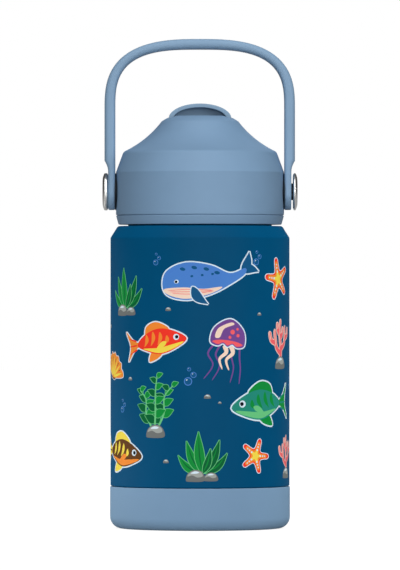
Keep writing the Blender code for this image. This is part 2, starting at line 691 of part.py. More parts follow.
def half_arch(half_width, rise, power, centre):
    """Superellipse crown from the +X side over to the -X side, seen from the pivot."""
    points = []
    for step in range(ARCH_STEPS + 1):
        angle = pi * step / ARCH_STEPS
        across = abs(cos(angle)) ** (2.0 / power) * half_width
        points.append((across if angle < pi / 2.0 else -across, centre + rise * sin(angle) ** (2.0 / power)))
    return points


def make_handle(plastic):
    """Strap bail with thinned round tabs at its pivots."""
    centre = HANDLE_RISE - ARCH_HEIGHT
    tab_radius = STRAP_WIDTH / 2.0 + TAB_ROUND
    foot = -2.0 * tab_radius
    right_leg = [(tab_outer, foot)]
    for step in range(FILLET_STEPS + 1):
        along = step / FILLET_STEPS
        right_leg.append((tab_outer + (leg_outer - tab_outer) * along ** RELIEF_POWER,
                          RELIEF_BOTTOM + (RELIEF_TOP - RELIEF_BOTTOM) * along))
    left_leg = [(-across, up) for across, up in reversed(right_leg)]
    inner = half_arch(leg_inner, ARCH_HEIGHT - STRAP_THICKNESS, ARCH_INNER_POWER, centre)
    handle = extruded("handle", [
        *right_leg,
        *half_arch(leg_outer, ARCH_HEIGHT, ARCH_POWER, centre),
        *left_leg,
        (-leg_inner, foot),
        *reversed(inner),
        (leg_inner, foot),
    ], STRAP_WIDTH / 2.0, "XZ", pivot, (-HANDLE_PLAY, 0.0, 0.0), STRAP_EDGE)
    top = 2.0 * HANDLE_RISE
    angles = [2.0 * pi * step / ROUND_STEPS for step in range(ROUND_STEPS // 2 + 1)]
    tab_ends = extruded("tab_ends", [
        (tab_radius, top),
        (-tab_radius, top),
        *[(-tab_radius * cos(angle), -tab_radius * sin(angle)) for angle in angles],
    ], 2.0 * leg_outer, "YZ", pivot, group=cutters)
    combine(handle, "INTERSECT", tab_ends)
    eye = rod("handle_eye", sleeve_radius + FIT_GAP, -2.0 * leg_outer, 2.0 * leg_outer, (1, 0, 0), pivot)
    combine(handle, "DIFFERENCE", eye)
    cover(handle, plastic)


def make_handle_pivots():
    """On each side a domed rivet through a flanged bush, held by a threaded insert in the lid's boss."""
    head_top = rivet_seat + RIVET_HEAD_HEIGHT
    head_edge = rivet_seat + RIVET_HEAD_HEIGHT / 3.0
    for side, outward in SIDES:
        rivet = turned("handle_rivet_" + side, [
            (0.0, head_top),
            (RIVET_FLAT_RADIUS, head_top),
            *bowed((RIVET_FLAT_RADIUS, head_top), (RIVET_HEAD_RADIUS, head_edge), -RIVET_HEAD_HEIGHT / 6.0,
                   FILLET_STEPS),
            (RIVET_HEAD_RADIUS, head_edge),
            (RIVET_HEAD_RADIUS, rivet_seat),
            (RIVET_SHANK_RADIUS, rivet_seat),
            (RIVET_SHANK_RADIUS, rivet_end),
            (0.0, rivet_end),
        ], SMALL_STEPS, pivot, along=outward)
        cover(rivet, finish("rivet_steel_" + side, (200, 200, 198), 0.18, 1.0))
        bush = turned("handle_bush_" + side, [
            (sleeve_radius, rivet_seat - FIT_GAP),
            (sleeve_radius, bush_face),
            (BUSH_FLANGE_RADIUS, bush_face),
            (BUSH_FLANGE_RADIUS, bush_face - BUSH_FLANGE),
            (sleeve_inner_radius, bush_face - BUSH_FLANGE),
            (sleeve_inner_radius, rivet_seat - FIT_GAP),
        ], SMALL_STEPS, pivot, along=outward)
        cover(bush, finish("bush_nylon_" + side, (18, 18, 20), 0.5))
        insert = turned("handle_insert_" + side, [
            (insert_radius, pad_face),
            (insert_radius, rivet_end),
            (sleeve_inner_radius, rivet_end),
            (sleeve_inner_radius, pad_face),
        ], SMALL_STEPS, pivot, along=outward)
        cover(insert, finish("insert_brass_" + side, (190, 150, 80), 0.35, 1.0))


make_boot()
make_outer_shell()
make_inner_liner()
make_base_plate()
make_neck_gasket()
make_lid_core(finish("core_plastic", (120, 150, 178), 0.4))
make_lid_shell(finish("lid_plastic", (129, 160, 189), 0.4))
make_spout(finish("spout_plastic", (132, 159, 182), 0.4))
make_drinking_line()
make_handle(finish("handle_plastic", (138, 167, 194), 0.4))
make_handle_pivots()
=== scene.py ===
"""Looks of the insulated kids water bottle, dressed over its CAD frame. Metres, +Z up."""
from math import cos, pi, radians, sin, sqrt, tan

import bmesh
import bpy
from mathutils import Matrix, Vector
from mathutils.geometry import delaunay_2d_cdt


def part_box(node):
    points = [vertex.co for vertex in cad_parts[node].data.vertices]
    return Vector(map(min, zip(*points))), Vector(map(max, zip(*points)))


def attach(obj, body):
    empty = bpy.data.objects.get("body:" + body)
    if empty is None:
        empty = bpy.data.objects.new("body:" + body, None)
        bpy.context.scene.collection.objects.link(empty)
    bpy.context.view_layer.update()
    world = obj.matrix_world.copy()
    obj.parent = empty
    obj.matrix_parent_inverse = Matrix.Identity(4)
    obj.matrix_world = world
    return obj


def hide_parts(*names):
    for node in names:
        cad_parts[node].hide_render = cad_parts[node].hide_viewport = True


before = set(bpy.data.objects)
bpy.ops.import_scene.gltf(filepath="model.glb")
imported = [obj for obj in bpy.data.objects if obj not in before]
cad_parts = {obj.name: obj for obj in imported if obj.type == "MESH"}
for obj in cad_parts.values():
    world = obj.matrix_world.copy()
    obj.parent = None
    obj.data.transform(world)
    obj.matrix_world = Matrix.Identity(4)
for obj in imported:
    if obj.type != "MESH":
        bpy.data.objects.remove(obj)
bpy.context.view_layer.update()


# Boot
# A cup of matt silicone pushed over the bottle's foot, so that it stands quietly and doesn't slip.
# It is moulded in one piece, stands a hair proud of the wall above it and rests on a ring round its floor.
boot_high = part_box("boot")[1]
boot_radius = boot_high.x
boot_top = boot_high.z
boot_wall = 0.0014
boot_floor = 0.0020
boot_fillet = 0.0048
boot_ring_width = 0.0055
boot_recess = 0.0008
boot_lip_round = 0.0004
boot_colour = (130, 164, 194)


def linear(red, green, blue):
    """Screen colour, 0 to 255, as linear light with full alpha."""
    shares = (channel / 255.0 for channel in (red, green, blue))
    return *(s / 12.92 if s <= 0.04045 else ((s + 0.055) / 1.055) ** 2.4 for s in shares), 1.0


def rounded(*corners, steps=7):
    """Points of an outline of (across, up) or (across, up, fillet radius) corners, the fillets as arcs."""
    points = []
    for index, corner in enumerate(corners):
        here = Vector(corner[:2])
        if len(corner) == 2:
            points.append(here)
            continue
        before = (Vector(corners[index - 1][:2]) - here).normalized()
        after = (Vector(corners[(index + 1) % len(corners)][:2]) - here).normalized()
        half_angle = before.angle(after) / 2.0
        centre = here + (before + after).normalized() * corner[2] / sin(half_angle)
        spoke = here + before * corner[2] / tan(half_angle) - centre
        last_spoke = here + after * corner[2] / tan(half_angle) - centre
        turn = spoke.angle_signed(last_spoke)
        for step in range(steps + 1):
            points.append(centre + Matrix.Rotation(-turn * step / steps, 2) @ spoke)
    return points


def piece_of(name, form):
    """Object of a bmesh form, smooth with sharp edges."""
    mesh = bpy.data.meshes.new(name)
    form.to_mesh(mesh)
    form.free()
    mesh.shade_smooth()
    mesh.set_sharp_from_angle(angle=radians(32.0))
    piece = bpy.data.objects.new(name, mesh)
    bpy.context.scene.collection.objects.link(piece)
    return piece


def lathe(name, profile, segments=192):
    """(radius, height) points turned about Z. A profile that starts off the axis is closed to a ring."""
    form = bmesh.new()
    points = [form.verts.new((radius, 0.0, height)) for radius, height in profile]
    lines = [form.edges.new(pair) for pair in zip(points, points[1:])]
    if profile[0][0] > 0.0:
        lines.append(form.edges.new((points[-1], points[0])))
    bmesh.ops.spin(form, geom=points + lines, cent=(0, 0, 0), axis=(0, 0, 1), angle=2.0 * pi,
                   steps=segments, use_merge=True)
    bmesh.ops.remove_doubles(form, verts=form.verts, dist=0.0000005)
    bmesh.ops.recalc_face_normals(form, faces=form.faces)
    return piece_of(name, form)


def add_node(tree, kind, inputs=None, **settings):
    """Shader node. An input takes a plain value or the output of another node."""
    node = tree.nodes.new("ShaderNode" + kind)
    for name, value in settings.items():
        setattr(node, name, value)
    for name, value in (inputs or {}).items():
        if isinstance(value, bpy.types.NodeSocket):
            tree.links.new(value, node.inputs[name])
        else:
            node.inputs[name].default_value = value
    return node


def new_group(name, inputs, outputs):
    """Shader node group with named sockets. Returns the tree and its input and output nodes."""
    group = bpy.data.node_groups.new(name, "ShaderNodeTree")
    for socket, kind in inputs.items():
        group.interface.new_socket(socket, in_out="INPUT", socket_type="NodeSocket" + kind)
    for socket, kind in outputs.items():
        group.interface.new_socket(socket, in_out="OUTPUT", socket_type="NodeSocket" + kind)
    return group, group.nodes.new("NodeGroupInput"), group.nodes.new("NodeGroupOutput")


def make_moulded_grain():
    """Moulded surface: soft drift of tone and gloss over it, and a fine grain from the mould."""
    group, given, result = new_group(
        "moulded_grain",
        {"Colour": "Color", "Tone": "Float", "Gloss": "Float", "Grains": "Float"},
        {"Colour": "Color", "Roughness": "Float", "Height": "Float"})
    place = add_node(group, "TexCoord").outputs["Object"]
    drift = add_node(group, "TexNoise", {"Vector": place, "Scale": 90.0, "Detail": 3.0})
    grain = add_node(group, "TexNoise", {"Vector": place, "Scale": given.outputs["Grains"], "Detail": 2.0})
    low_tone = add_node(group, "Math", {0: 1.0, 1: given.outputs["Tone"]}, operation="SUBTRACT")
    high_tone = add_node(group, "Math", {0: 1.0, 1: given.outputs["Tone"]}, operation="ADD")
    value = add_node(group, "MapRange", {"Value": drift.outputs["Fac"], "From Min": 0.3, "From Max": 0.7,
                                         "To Min": low_tone.outputs[0], "To Max": high_tone.outputs[0]})
    toned = add_node(group, "HueSaturation", {"Value": value.outputs[0], "Color": given.outputs["Colour"]})
    mottle = add_node(group, "MapRange", {"Value": grain.outputs["Fac"], "From Min": 0.25, "From Max": 0.75,
                                          "To Min": -0.06, "To Max": 0.06})
    gloss = add_node(group, "Math", {0: given.outputs["Gloss"], 1: mottle.outputs[0]}, operation="ADD")
    group.links.new(toned.outputs["Color"], result.inputs["Colour"])
    group.links.new(gloss.outputs[0], result.inputs["Roughness"])
    group.links.new(grain.outputs["Fac"], result.inputs["Height"])
    return group


def make_edge_wear_and_highlight():
    """Mask of the proud edges, broken up, where handling polishes a surface and where it is painted lighter
    as a painted edge highlight.
    """
    group, given, result = new_group("edge_wear_and_highlight", {"Amount": "Float"}, {"Mask": "Float"})
    edges = add_node(group, "MapRange", {"Value": add_node(group, "NewGeometry").outputs["Pointiness"],
                                         "From Min": 0.52, "From Max": 0.62})
    place = add_node(group, "TexCoord").outputs["Object"]
    patches = add_node(group, "TexNoise", {"Vector": place, "Scale": 260.0, "Detail": 4.0})
    broken = add_node(group, "MapRange", {"Value": patches.outputs["Fac"],
                                          "From Min": 0.35, "From Max": 0.65})
    worn_and_highlit = add_node(group, "Math", {0: edges.outputs[0], 1: broken.outputs[0]}, operation="MULTIPLY")
    mask = add_node(group, "Math", {0: worn_and_highlit.outputs[0], 1: given.outputs["Amount"]}, operation="MULTIPLY")
    group.links.new(mask.outputs[0], result.inputs["Mask"])
    return group


moulded_grain = make_moulded_grain()
edge_wear_and_highlight = make_edge_wear_and_highlight()


def new_material(name):
    """Empty node material. Returns it with its tree and its Principled shader."""
    material = bpy.data.materials.new(name)
    material.use_nodes = True
    return material, material.node_tree, material.node_tree.nodes["Principled BSDF"]


def use_group(tree, group, **inputs):
    """A node group placed in a material with its own values."""
    node = add_node(tree, "Group", node_tree=group)
    for name, value in inputs.items():
        node.inputs[name].default_value = value
    return node


def bump(tree, shader, height, depth):
    """Height in depth metres, put on a shader's normal."""
    relief = add_node(tree, "Bump", {"Height": height, "Strength": 0.6, "Distance": depth})
    tree.links.new(relief.outputs["Normal"], shader.inputs["Normal"])
    return relief


def moulded(name, colour, gloss, tone=0.02, grains=5200.0, wear_and_highlight=0.25, specular=0.5, matt=0.0, edge=0.0):
    """Moulded plastic, nylon or silicone. Gloss is its roughness, edge the round on its cut edges."""
    material, tree, shader = new_material(name)
    surface = use_group(tree, moulded_grain, Colour=linear(*colour), Tone=tone, Gloss=gloss, Grains=grains)
    edges = use_group(tree, edge_wear_and_highlight, Amount=wear_and_highlight)
    # Proud edges take a lighter copy of the colour: a painted highlight along the edges, partly wear from
    # handling.
    rubbed_and_highlit = add_node(tree, "HueSaturation", {"Value": 1.12, "Color": surface.outputs["Colour"]})
    worn_and_highlit = add_node(tree, "Mix", {0: edges.outputs["Mask"], 6: surface.outputs["Colour"],
                                  7: rubbed_and_highlit.outputs["Color"]}, data_type="RGBA")
    tree.links.new(worn_and_highlit.outputs[2], shader.inputs["Base Color"])
    tree.links.new(surface.outputs["Roughness"], shader.inputs["Roughness"])
    relief = bump(tree, shader, surface.outputs["Height"], 0.00001)
    if edge > 0.0:
        softened = add_node(tree, "Bevel", {"Radius": edge}, samples=6)
        tree.links.new(softened.outputs["Normal"], relief.inputs["Normal"])
    shader.inputs["Specular IOR Level"].default_value = specular
    shader.inputs["Diffuse Roughness"].default_value = matt
    return material


def dress(piece, material, body, slot, *nodes):
    """Material of a piece, the body it moves with and the CAD nodes it stands for. The slot argument is not
    used.
    """
    piece.data.materials.clear()
    piece.data.materials.append(material)
    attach(piece, body)
    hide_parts(*nodes)


boot_inner = boot_radius - boot_wall
boot_ring = boot_radius - boot_fillet - boot_ring_width
boot = lathe("boot_cup", rounded(
    (0.0, boot_floor),
    (boot_inner, boot_floor, boot_fillet - boot_wall),
    (boot_inner, boot_top, boot_lip_round),
    (boot_radius, boot_top, boot_lip_round),
    (boot_radius, 0.0, boot_fillet),
    (boot_ring, 0.0, boot_lip_round),
    (boot_ring - boot_recess, boot_recess, boot_lip_round),
    (0.0, boot_recess),
), 256)
dress(boot, moulded("boot_silicone", boot_colour, 0.68, tone=0.015, grains=3800.0, specular=0.3, matt=1.0),
      "bottle", "boot_silicone", "boot")


# Outer shell
# The outer wall of the vacuum bottle: a steel tube drawn in to a chamfered shoulder and a threaded neck.
# It is sprayed with a matt navy powder coat and cured; the foot is stepped in to take the boot.
shell_low, shell_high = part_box("outer_shell")
body_radius = shell_high.x
foot_height = shell_low.z
neck_top = shell_high.z
shoulder_height = 0.1225
shoulder_inset = 0.0030
shoulder_drop = 0.0048
shoulder_round = 0.0014
neck_radius = body_radius - 0.0093
collar_radius = neck_radius + 0.0021
collar_top = shoulder_height + 0.0028
steel_wall = 0.0007
fit_gap = 0.0003
foot_radius = boot_inner - fit_gap
foot_fillet = boot_fillet - boot_wall - fit_gap
coat_colour = (0, 85, 129)
thread_height = 0.0005
thread_half_base = 0.0013
thread_pitch = 0.0042
thread_turns = 1.6


def helical_thread(name, radius, height, start, turns):
    """Rounded screw thread standing height off a cylinder, outwards or, if negative, inwards."""
    steps_per_turn = 128
    run_out = 24
    sunk = -height * 0.2
    form = bmesh.new()
    sections = []
    steps = int(turns * steps_per_turn)
    for step in range(steps + 1):
        angle = 2.0 * pi * step / steps_per_turn
        fade = min(1.0, step / run_out, (steps - step) / run_out)
        crest = sunk + (height - sunk) * max(fade, 0.02)
        middle = start + thread_pitch * step / steps_per_turn
        points = []
        for share, level in ((1.0, sunk), (0.45, crest), (-0.45, crest), (-1.0, sunk)):
            reach = radius + level
            points.append(form.verts.new((reach * cos(angle), reach * sin(angle),
                                          middle + share * thread_half_base)))
        sections.append(points)
    for here, there in zip(sections, sections[1:]):
        for corner in range(4):
            following = (corner + 1) % 4
            form.faces.new((here[corner], there[corner], there[following], here[following]))
    form.faces.new(sections[0])
    form.faces.new(reversed(sections[-1]))
    bmesh.ops.recalc_face_normals(form, faces=form.faces)
    return piece_of(name, form)


def make_coat_peel():
    """Cured film of powder or ink: low orange peel, fine speckle and a drift of tone and gloss."""
    group, given, result = new_group(
        "coat_peel", {"Colour": "Color", "Tone": "Float", "Gloss": "Float"},
        {"Colour": "Color", "Roughness": "Float", "Height": "Float"})
    place = add_node(group, "TexCoord").outputs["Object"]
    peel = add_node(group, "TexNoise", {"Vector": place, "Scale": 1500.0, "Detail": 1.0})
    speckle = add_node(group, "TexVoronoi", {"Vector": place, "Scale": 3600.0})
    drift = add_node(group, "TexNoise", {"Vector": place, "Scale": 60.0, "Detail": 3.0})
    low_tone = add_node(group, "Math", {0: 1.0, 1: given.outputs["Tone"]}, operation="SUBTRACT")
    high_tone = add_node(group, "Math", {0: 1.0, 1: given.outputs["Tone"]}, operation="ADD")
    value = add_node(group, "MapRange", {"Value": drift.outputs["Fac"], "From Min": 0.3, "From Max": 0.7,
                                         "To Min": low_tone.outputs[0], "To Max": high_tone.outputs[0]})
    toned = add_node(group, "HueSaturation", {"Value": value.outputs[0], "Color": given.outputs["Colour"]})
    mottle = add_node(group, "MapRange", {"Value": speckle.outputs["Distance"],
                                          "To Min": 0.05, "To Max": -0.05})
    gloss = add_node(group, "Math", {0: given.outputs["Gloss"], 1: mottle.outputs[0]}, operation="ADD")
    group.links.new(toned.outputs["Color"], result.inputs["Colour"])
    group.links.new(gloss.outputs[0], result.inputs["Roughness"])
    group.links.new(peel.outputs["Fac"], result.inputs["Height"])
    return group


coat_peel = make_coat_peel()


def coated(name, colour, gloss, tone):
    """Film of powder coat or ink on the wall."""
    material, tree, shader = new_material(name)
    film = use_group(tree, coat_peel, Colour=linear(*colour), Tone=tone, Gloss=gloss)
    tree.links.new(film.outputs["Colour"], shader.inputs["Base Color"])
    tree.links.new(film.outputs["Roughness"], shader.inputs["Roughness"])
    bump(tree, shader, film.outputs["Height"], 0.00002)
    shader.inputs["Specular IOR Level"].default_value = 0.05
    shader.inputs["Diffuse Roughness"].default_value = 1.0
    return material


step_height = boot_top + fit_gap
shoulder_radius = body_radius - shoulder_inset
foot_opening = foot_radius - foot_fillet - steel_wall
shell = lathe("coated_shell", rounded(
    (neck_radius, neck_top, 0.0003),
    (neck_radius, collar_top, 0.0004),
    (collar_radius, collar_top, 0.0004),
    (collar_radius, shoulder_height, 0.0004),
    (shoulder_radius, shoulder_height, shoulder_round),
    (body_radius, shoulder_height - shoulder_drop, shoulder_round),
    (body_radius, step_height, 0.0004),
    (foot_radius, step_height),
    (foot_radius, foot_height, foot_fillet),
    (foot_opening, foot_height),
    (foot_opening, foot_height + steel_wall),
    (foot_radius - steel_wall, foot_height + steel_wall, foot_fillet - steel_wall),
    (foot_radius - steel_wall, step_height + steel_wall),
    (body_radius - steel_wall, step_height + steel_wall),
    (body_radius - steel_wall, shoulder_height - shoulder_drop - steel_wall),
    (shoulder_radius - steel_wall, shoulder_height - steel_wall),
    (neck_radius - steel_wall, shoulder_height - steel_wall),
    (neck_radius - steel_wall, neck_top),
), 256)
coat = coated("navy_powder_coat", coat_colour, 0.52, 0.03)
dress(shell, coat, "bottle", "shell_coating", "outer_shell")
neck_thread = helical_thread("neck_thread", neck_radius, thread_height, collar_top + 0.0022, thread_turns)
dress(neck_thread, coat, "bottle", "shell_coating")


# Print
# Sea plants and animals in bright ink, screen printed round the coat, with one screen for each ink.
# The screens are cut to fit, so that each cured film of ink ends where its neighbour starts.
film_top = body_radius + 0.00003
film_thickness = 0.00006
strip_width = 1.3
print_gloss = 0.46
ink_colours = {
    "pale": (226, 241, 250),
    "green": (23, 154, 67),
    "dark_green": (14, 109, 60),
    "mint": (115, 209, 141),
    "teal": (43, 152, 133),
    "stone": (176, 181, 176),
    "dark_stone": (124, 128, 126),
    "red": (249, 65, 49),
    "orange": (250, 154, 60),
    "yellow": (250, 229, 87),
    "brown": (109, 69, 32),
    "purple": (130, 84, 163),
    "pink": (250, 228, 211),
    "coral": (249, 109, 117),
    "blue": (87, 146, 220),
    "deep_blue": (25, 98, 148),
    "black": (19, 23, 34),
}


def smooth_path(corners, closed, steps=6):
    """Curve through all of its corners."""
    count = len(corners)
    points = []
    for index in range(count if closed else count - 1):
        near = (index - 1, index, index + 1, index + 2)
        places = [place % count if closed else min(max(place, 0), count - 1) for place in near]
        before, here, there, after = (Vector(corners[place]) for place in places)
        for step in range(steps):
            way = step / steps
            points.append(here + ((there - before) * way
                                  + (2.0 * before - 5.0 * here + 4.0 * there - after) * way ** 2
                                  + (3.0 * here - before - 3.0 * there + after) * way ** 3) / 2.0)
    return points if closed else [*points, Vector(corners[-1])]


def blob(*corners):
    """Closed shape with a smooth outline through its corners."""
    return smooth_path(corners, True)


def oval(x, y, half_width, half_height, turn=0.0):
    """Ellipse about a point, turned by degrees."""
    spin = Matrix.Rotation(radians(turn), 2)
    angles = [radians(angle) for angle in range(0, 360, 15)]
    centre = Vector((x, y))
    return [centre + spin @ Vector((half_width * cos(angle), half_height * sin(angle))) for angle in angles]


def stroke(path, half_width, end_half_width):
    """Brush stroke along a path, with round ends."""
    points = smooth_path(path, False)
    left, right = [], []
    for index, point in enumerate(points):
        along = index / (len(points) - 1)
        way = (points[min(index + 1, len(points) - 1)] - points[max(index - 1, 0)]).normalized()
        rounding = sqrt(max(1.0 - abs(2.0 * along - 1.0) ** 12, 0.04))
        side = Vector((-way.y, way.x)) * (half_width + (end_half_width - half_width) * along) * rounding
        left.append(point + side)
        right.append(point - side)
    return [*right, *reversed(left)]


def leaf(foot, tip, half_width, bend=0.0):
    """Leaf from foot to tip with a pointed end, bent to its left."""
    foot, tip = Vector(foot), Vector(tip)
    side = Vector((foot.y - tip.y, tip.x - foot.x)).normalized()
    left, right = [], []
    for step in range(15):
        along = step / 14
        middle = foot.lerp(tip, along) + side * bend * sin(pi * along)
        half = side * (half_width * sin(pi * min(along ** 0.75, 0.995)) + 0.002)
        left.append(middle + half)
        right.append(middle - half)
    return [*right, *reversed(left)]


def grown(shape, amount):
    """Shape with its outline moved outwards, for the pale line round a motif."""
    points = [Vector(point) for point in shape]
    area = sum(here.cross(points[index - 1]) for index, here in enumerate(points))
    out = amount if area < 0.0 else -amount
    moved = []
    for index, point in enumerate(points):
        way = (points[(index + 1) % len(points)] - points[index - 1]).normalized()
        moved.append(point + Vector((way.y, -way.x)) * out)
    return moved


def fish(body, fin, belly):
    """Fish that swims to the right."""
    trunk = blob((-0.6, 0.0), (-0.3, 0.25), (0.15, 0.37), (0.6, 0.26),
                 (0.95, -0.01), (0.6, -0.24), (0.15, -0.34), (-0.3, -0.2))
    tail = blob((-0.48, 0.0), (-0.76, 0.16), (-1.02, 0.42), (-0.88, 0.0), (-1.02, -0.4), (-0.76, -0.15))
    back_fin = blob((-0.26, 0.2), (-0.22, 0.46), (0.1, 0.56), (0.42, 0.4), (0.46, 0.26), (0.1, 0.26))
    low_fin = blob((-0.1, -0.22), (-0.24, -0.5), (0.06, -0.44), (0.2, -0.28))
    fins = (tail, back_fin, low_fin)
    return [
        *[("pale", grown(shape, 0.035)) for shape in (*fins, trunk)],
        *[(fin, shape) for shape in fins],
        *[(body, stroke([(-0.62, y / 2.0), (-0.92, y)], 0.025, 0.012)) for y in (-0.22, 0.0, 0.22)],
        (body, trunk),
        (belly, blob((-0.38, -0.12), (0.15, -0.16), (0.84, -0.08),
                     (0.6, -0.215), (0.15, -0.31), (-0.28, -0.18))),
        *[(fin, leaf((x, 0.31 - x * x), (x - 0.12, -0.08), 0.055, 0.05)) for x in (-0.24, -0.02, 0.2, 0.4)],
        (belly, leaf((0.36, -0.02), (0.04, -0.17), 0.07)),
        ("pale", oval(0.66, 0.07, 0.085, 0.085)),
        ("black", oval(0.675, 0.07, 0.048, 0.048)),
    ]


def whale():
    """Whale that swims to the left, with a ribbed throat and a forked tail."""
    trunk = blob((-0.98, -0.02), (-0.86, 0.28), (-0.42, 0.42), (0.1, 0.31), (0.5, 0.1), (0.86, 0.17),
                 (0.84, 0.04), (0.5, -0.13), (0.05, -0.3), (-0.45, -0.37), (-0.86, -0.25))
    flukes = (leaf((0.78, 0.1), (1.0, 0.5), 0.1, -0.05), leaf((0.8, 0.1), (1.2, 0.06), 0.09, 0.06))
    flipper = leaf((-0.34, -0.1), (-0.04, -0.5), 0.1, -0.06)
    return [
        *[("pale", grown(shape, 0.028)) for shape in (*flukes, trunk)],
        *[("deep_blue", shape) for shape in flukes],
        ("blue", trunk),
        ("pink", blob((-0.95, -0.09), (-0.5, -0.1), (-0.1, -0.17), (0.3, -0.17),
                      (0.04, -0.285), (-0.45, -0.345), (-0.84, -0.235))),
        *[("coral", stroke([(-0.88 + low, -0.13 - low * 0.6), (-0.4, -0.15 - low), (0.1, -0.22 - low * 0.2)],
                           0.006, 0.006)) for low in (0.0, 0.05, 0.1)],
        *[("deep_blue", oval(x, 0.3 - 0.5 * (x + 0.35) ** 2, 0.06, 0.035, -18))
          for x in (-0.5, -0.25, 0.0, 0.22)],
        *[("deep_blue", oval(x, 0.12, 0.03, 0.024)) for x in (-0.32, -0.1, 0.12)],
        ("pale", grown(flipper, 0.022)),
        ("deep_blue", flipper),
        ("pale", oval(-0.66, 0.04, 0.05, 0.042)),
        ("black", oval(-0.668, 0.036, 0.028, 0.028)),
    ]


def star(reach, waist):
    """Five-armed star with soft arms."""
    corners = []
    for arm in range(5):
        for angle, radius in ((72 * arm - 7, reach), (72 * arm + 7, reach), (72 * arm + 36, waist)):
            corners.append((radius * sin(radians(angle)), radius * cos(radians(angle))))
    return blob(*corners)


def starfish():
    """Starfish with a row of warts on each arm."""
    warts = []
    for arm in range(5):
        turn = Matrix.Rotation(radians(72 * arm), 2)
        for along, size in ((0.36, 0.06), (0.54, 0.05), (0.7, 0.04)):
            warts.append(("pale", oval(*(turn @ Vector((0.0, along))), size, size)))
    body = star(0.95, 0.42)
    return [
        ("pale", grown(body, 0.04)),
        ("red", body),
        ("orange", star(0.8, 0.33)),
        ("yellow", star(0.4, 0.2)),
        *warts,
    ]


def jellyfish():
    """Jellyfish with a spotted bell, frilled arms and trailing threads."""
    bell = blob((-0.52, 0.16), (-0.44, 0.58), (0.0, 0.86), (0.44, 0.58), (0.52, 0.16),
                (0.3, 0.06), (0.14, 0.14), (0.0, 0.06), (-0.14, 0.14), (-0.3, 0.06))
    threads = []
    for x in (-0.38, -0.2, 0.18, 0.38):
        path = [(x, 0.1), (x * 1.25 - 0.06, -0.2), (x * 1.1 + 0.07, -0.52), (x * 1.4 - 0.03, -0.95)]
        threads.append(stroke(path, 0.03, 0.014))
    arms = []
    for x in (-0.1, 0.1):
        path = [(x, 0.1), (x + 0.09, -0.1), (x - 0.08, -0.32), (x + 0.04, -0.6)]
        arms.append(stroke(path, 0.075, 0.02))
    return [
        *[("purple", shape) for shape in threads],
        *[("pink", shape) for shape in arms],
        ("pale", grown(bell, 0.035)),
        ("purple", bell),
        ("pink", blob((-0.4, 0.3), (-0.33, 0.56), (0.0, 0.76), (0.12, 0.72), (-0.16, 0.56), (-0.26, 0.3))),
        ("coral", blob((-0.46, 0.17), (-0.2, 0.24), (0.2, 0.24), (0.46, 0.17), (0.29, 0.1),
                       (0.14, 0.17), (0.0, 0.1), (-0.14, 0.17), (-0.29, 0.1))),
        *[("coral", oval(x, y, size, size))
          for x, y, size in ((0.1, 0.5, 0.07), (0.28, 0.42, 0.05), (0.04, 0.34, 0.045), (0.24, 0.6, 0.04))],
    ]


def scallop():
    """Ribbed fan shell."""
    def ray(angle, reach):
        return reach * sin(radians(angle)), reach * cos(radians(angle)) - 0.62

    rim = [ray(angle, 1.36 if angle % 22 == 0 else 1.24) for angle in range(-77, 78, 11)]
    fan = blob((-0.16, -0.62), *rim, (0.16, -0.62))
    ears = blob((-0.36, -0.44), (-0.34, -0.66), (0.0, -0.72), (0.34, -0.66), (0.36, -0.44), (0.0, -0.36))
    return [
        ("pale", grown(ears, 0.035)), ("pale", grown(fan, 0.04)),
        ("brown", ears), ("orange", fan),
        *[("yellow", leaf(ray(angle, 0.1), ray(angle, 1.22), 0.07)) for angle in range(-66, 67, 22)],
        *[("brown", stroke([ray(angle, 0.84), ray(angle, 1.1)], 0.012, 0.03))
          for angle in range(-55, 56, 22)],
    ]


def pebble(x, y, size):
    """Grey pebble with a lit top."""
    def at(*corners):
        return blob(*((x + size * across, y + size * up) for across, up in corners))

    return [
        ("dark_stone", at((-1.0, -0.5), (-0.8, 0.2), (-0.1, 0.58), (0.62, 0.4), (1.0, -0.3), (0.7, -0.62),
                          (-0.6, -0.64))),
        ("stone", at((-0.84, -0.1), (-0.62, 0.26), (-0.06, 0.5), (0.56, 0.34), (0.72, -0.06), (0.2, -0.2),
                     (-0.36, 0.02))),
        ("pale", at((-0.5, 0.22), (-0.06, 0.43), (0.36, 0.32), (0.1, 0.2))),
    ]


def fronds():
    """Broad-leaved sea plant rooted among pebbles."""
    blades = ((-0.86, 0.12, 0.13, 0.12), (0.88, 0.2, 0.13, -0.12), (-0.56, 0.62, 0.15, 0.08),
              (0.6, 0.66, 0.15, -0.08), (-0.14, 0.95, 0.17, 0.04), (0.28, 0.36, 0.12, -0.05))
    shapes = []
    for index, (x, y, half, bend) in enumerate(blades):
        blade = leaf((x * 0.08, -0.5), (x, y), half, bend)
        vein = leaf((x * 0.08, -0.46), (x * 0.9, y * 0.9 - 0.05), 0.02, bend)
        shapes += [("mint", grown(blade, 0.022)), ("dark_green" if index % 2 else "green", blade),
                   ("green" if index % 2 else "dark_green", vein)]
    return [*shapes, *pebble(-0.24, -0.58, 0.34), *pebble(0.3, -0.62, 0.25)]


def kelp():
    """Tall kelp: wavy stems with small blades on both sides."""
    shapes = []
    for foot, top, sway in ((-0.22, 0.55, -0.16), (0.2, 0.7, 0.2), (0.0, 0.98, 0.04)):
        stem = [(foot * 0.4, -0.6), (foot + sway * 0.5, -0.15), (foot + sway * 0.6, top * 0.5),
                (foot + sway * 2.0, top)]
        knots = smooth_path(stem, False)
        for index in range(3, len(knots) - 1, 2):
            side = 1.0 if index % 4 == 1 else -1.0
            size = 0.4 - 0.012 * index
            tip = knots[index] + Vector((side * size, size * 0.6))
            blade = leaf(knots[index], tip, size * 0.34, side * 0.03)
            shapes += [("mint", grown(blade, 0.016)), ("green" if side > 0.0 else "dark_green", blade)]
        shapes.append(("mint", stroke(stem, 0.034, 0.016)))
    return [*shapes, *pebble(0.02, -0.66, 0.32)]


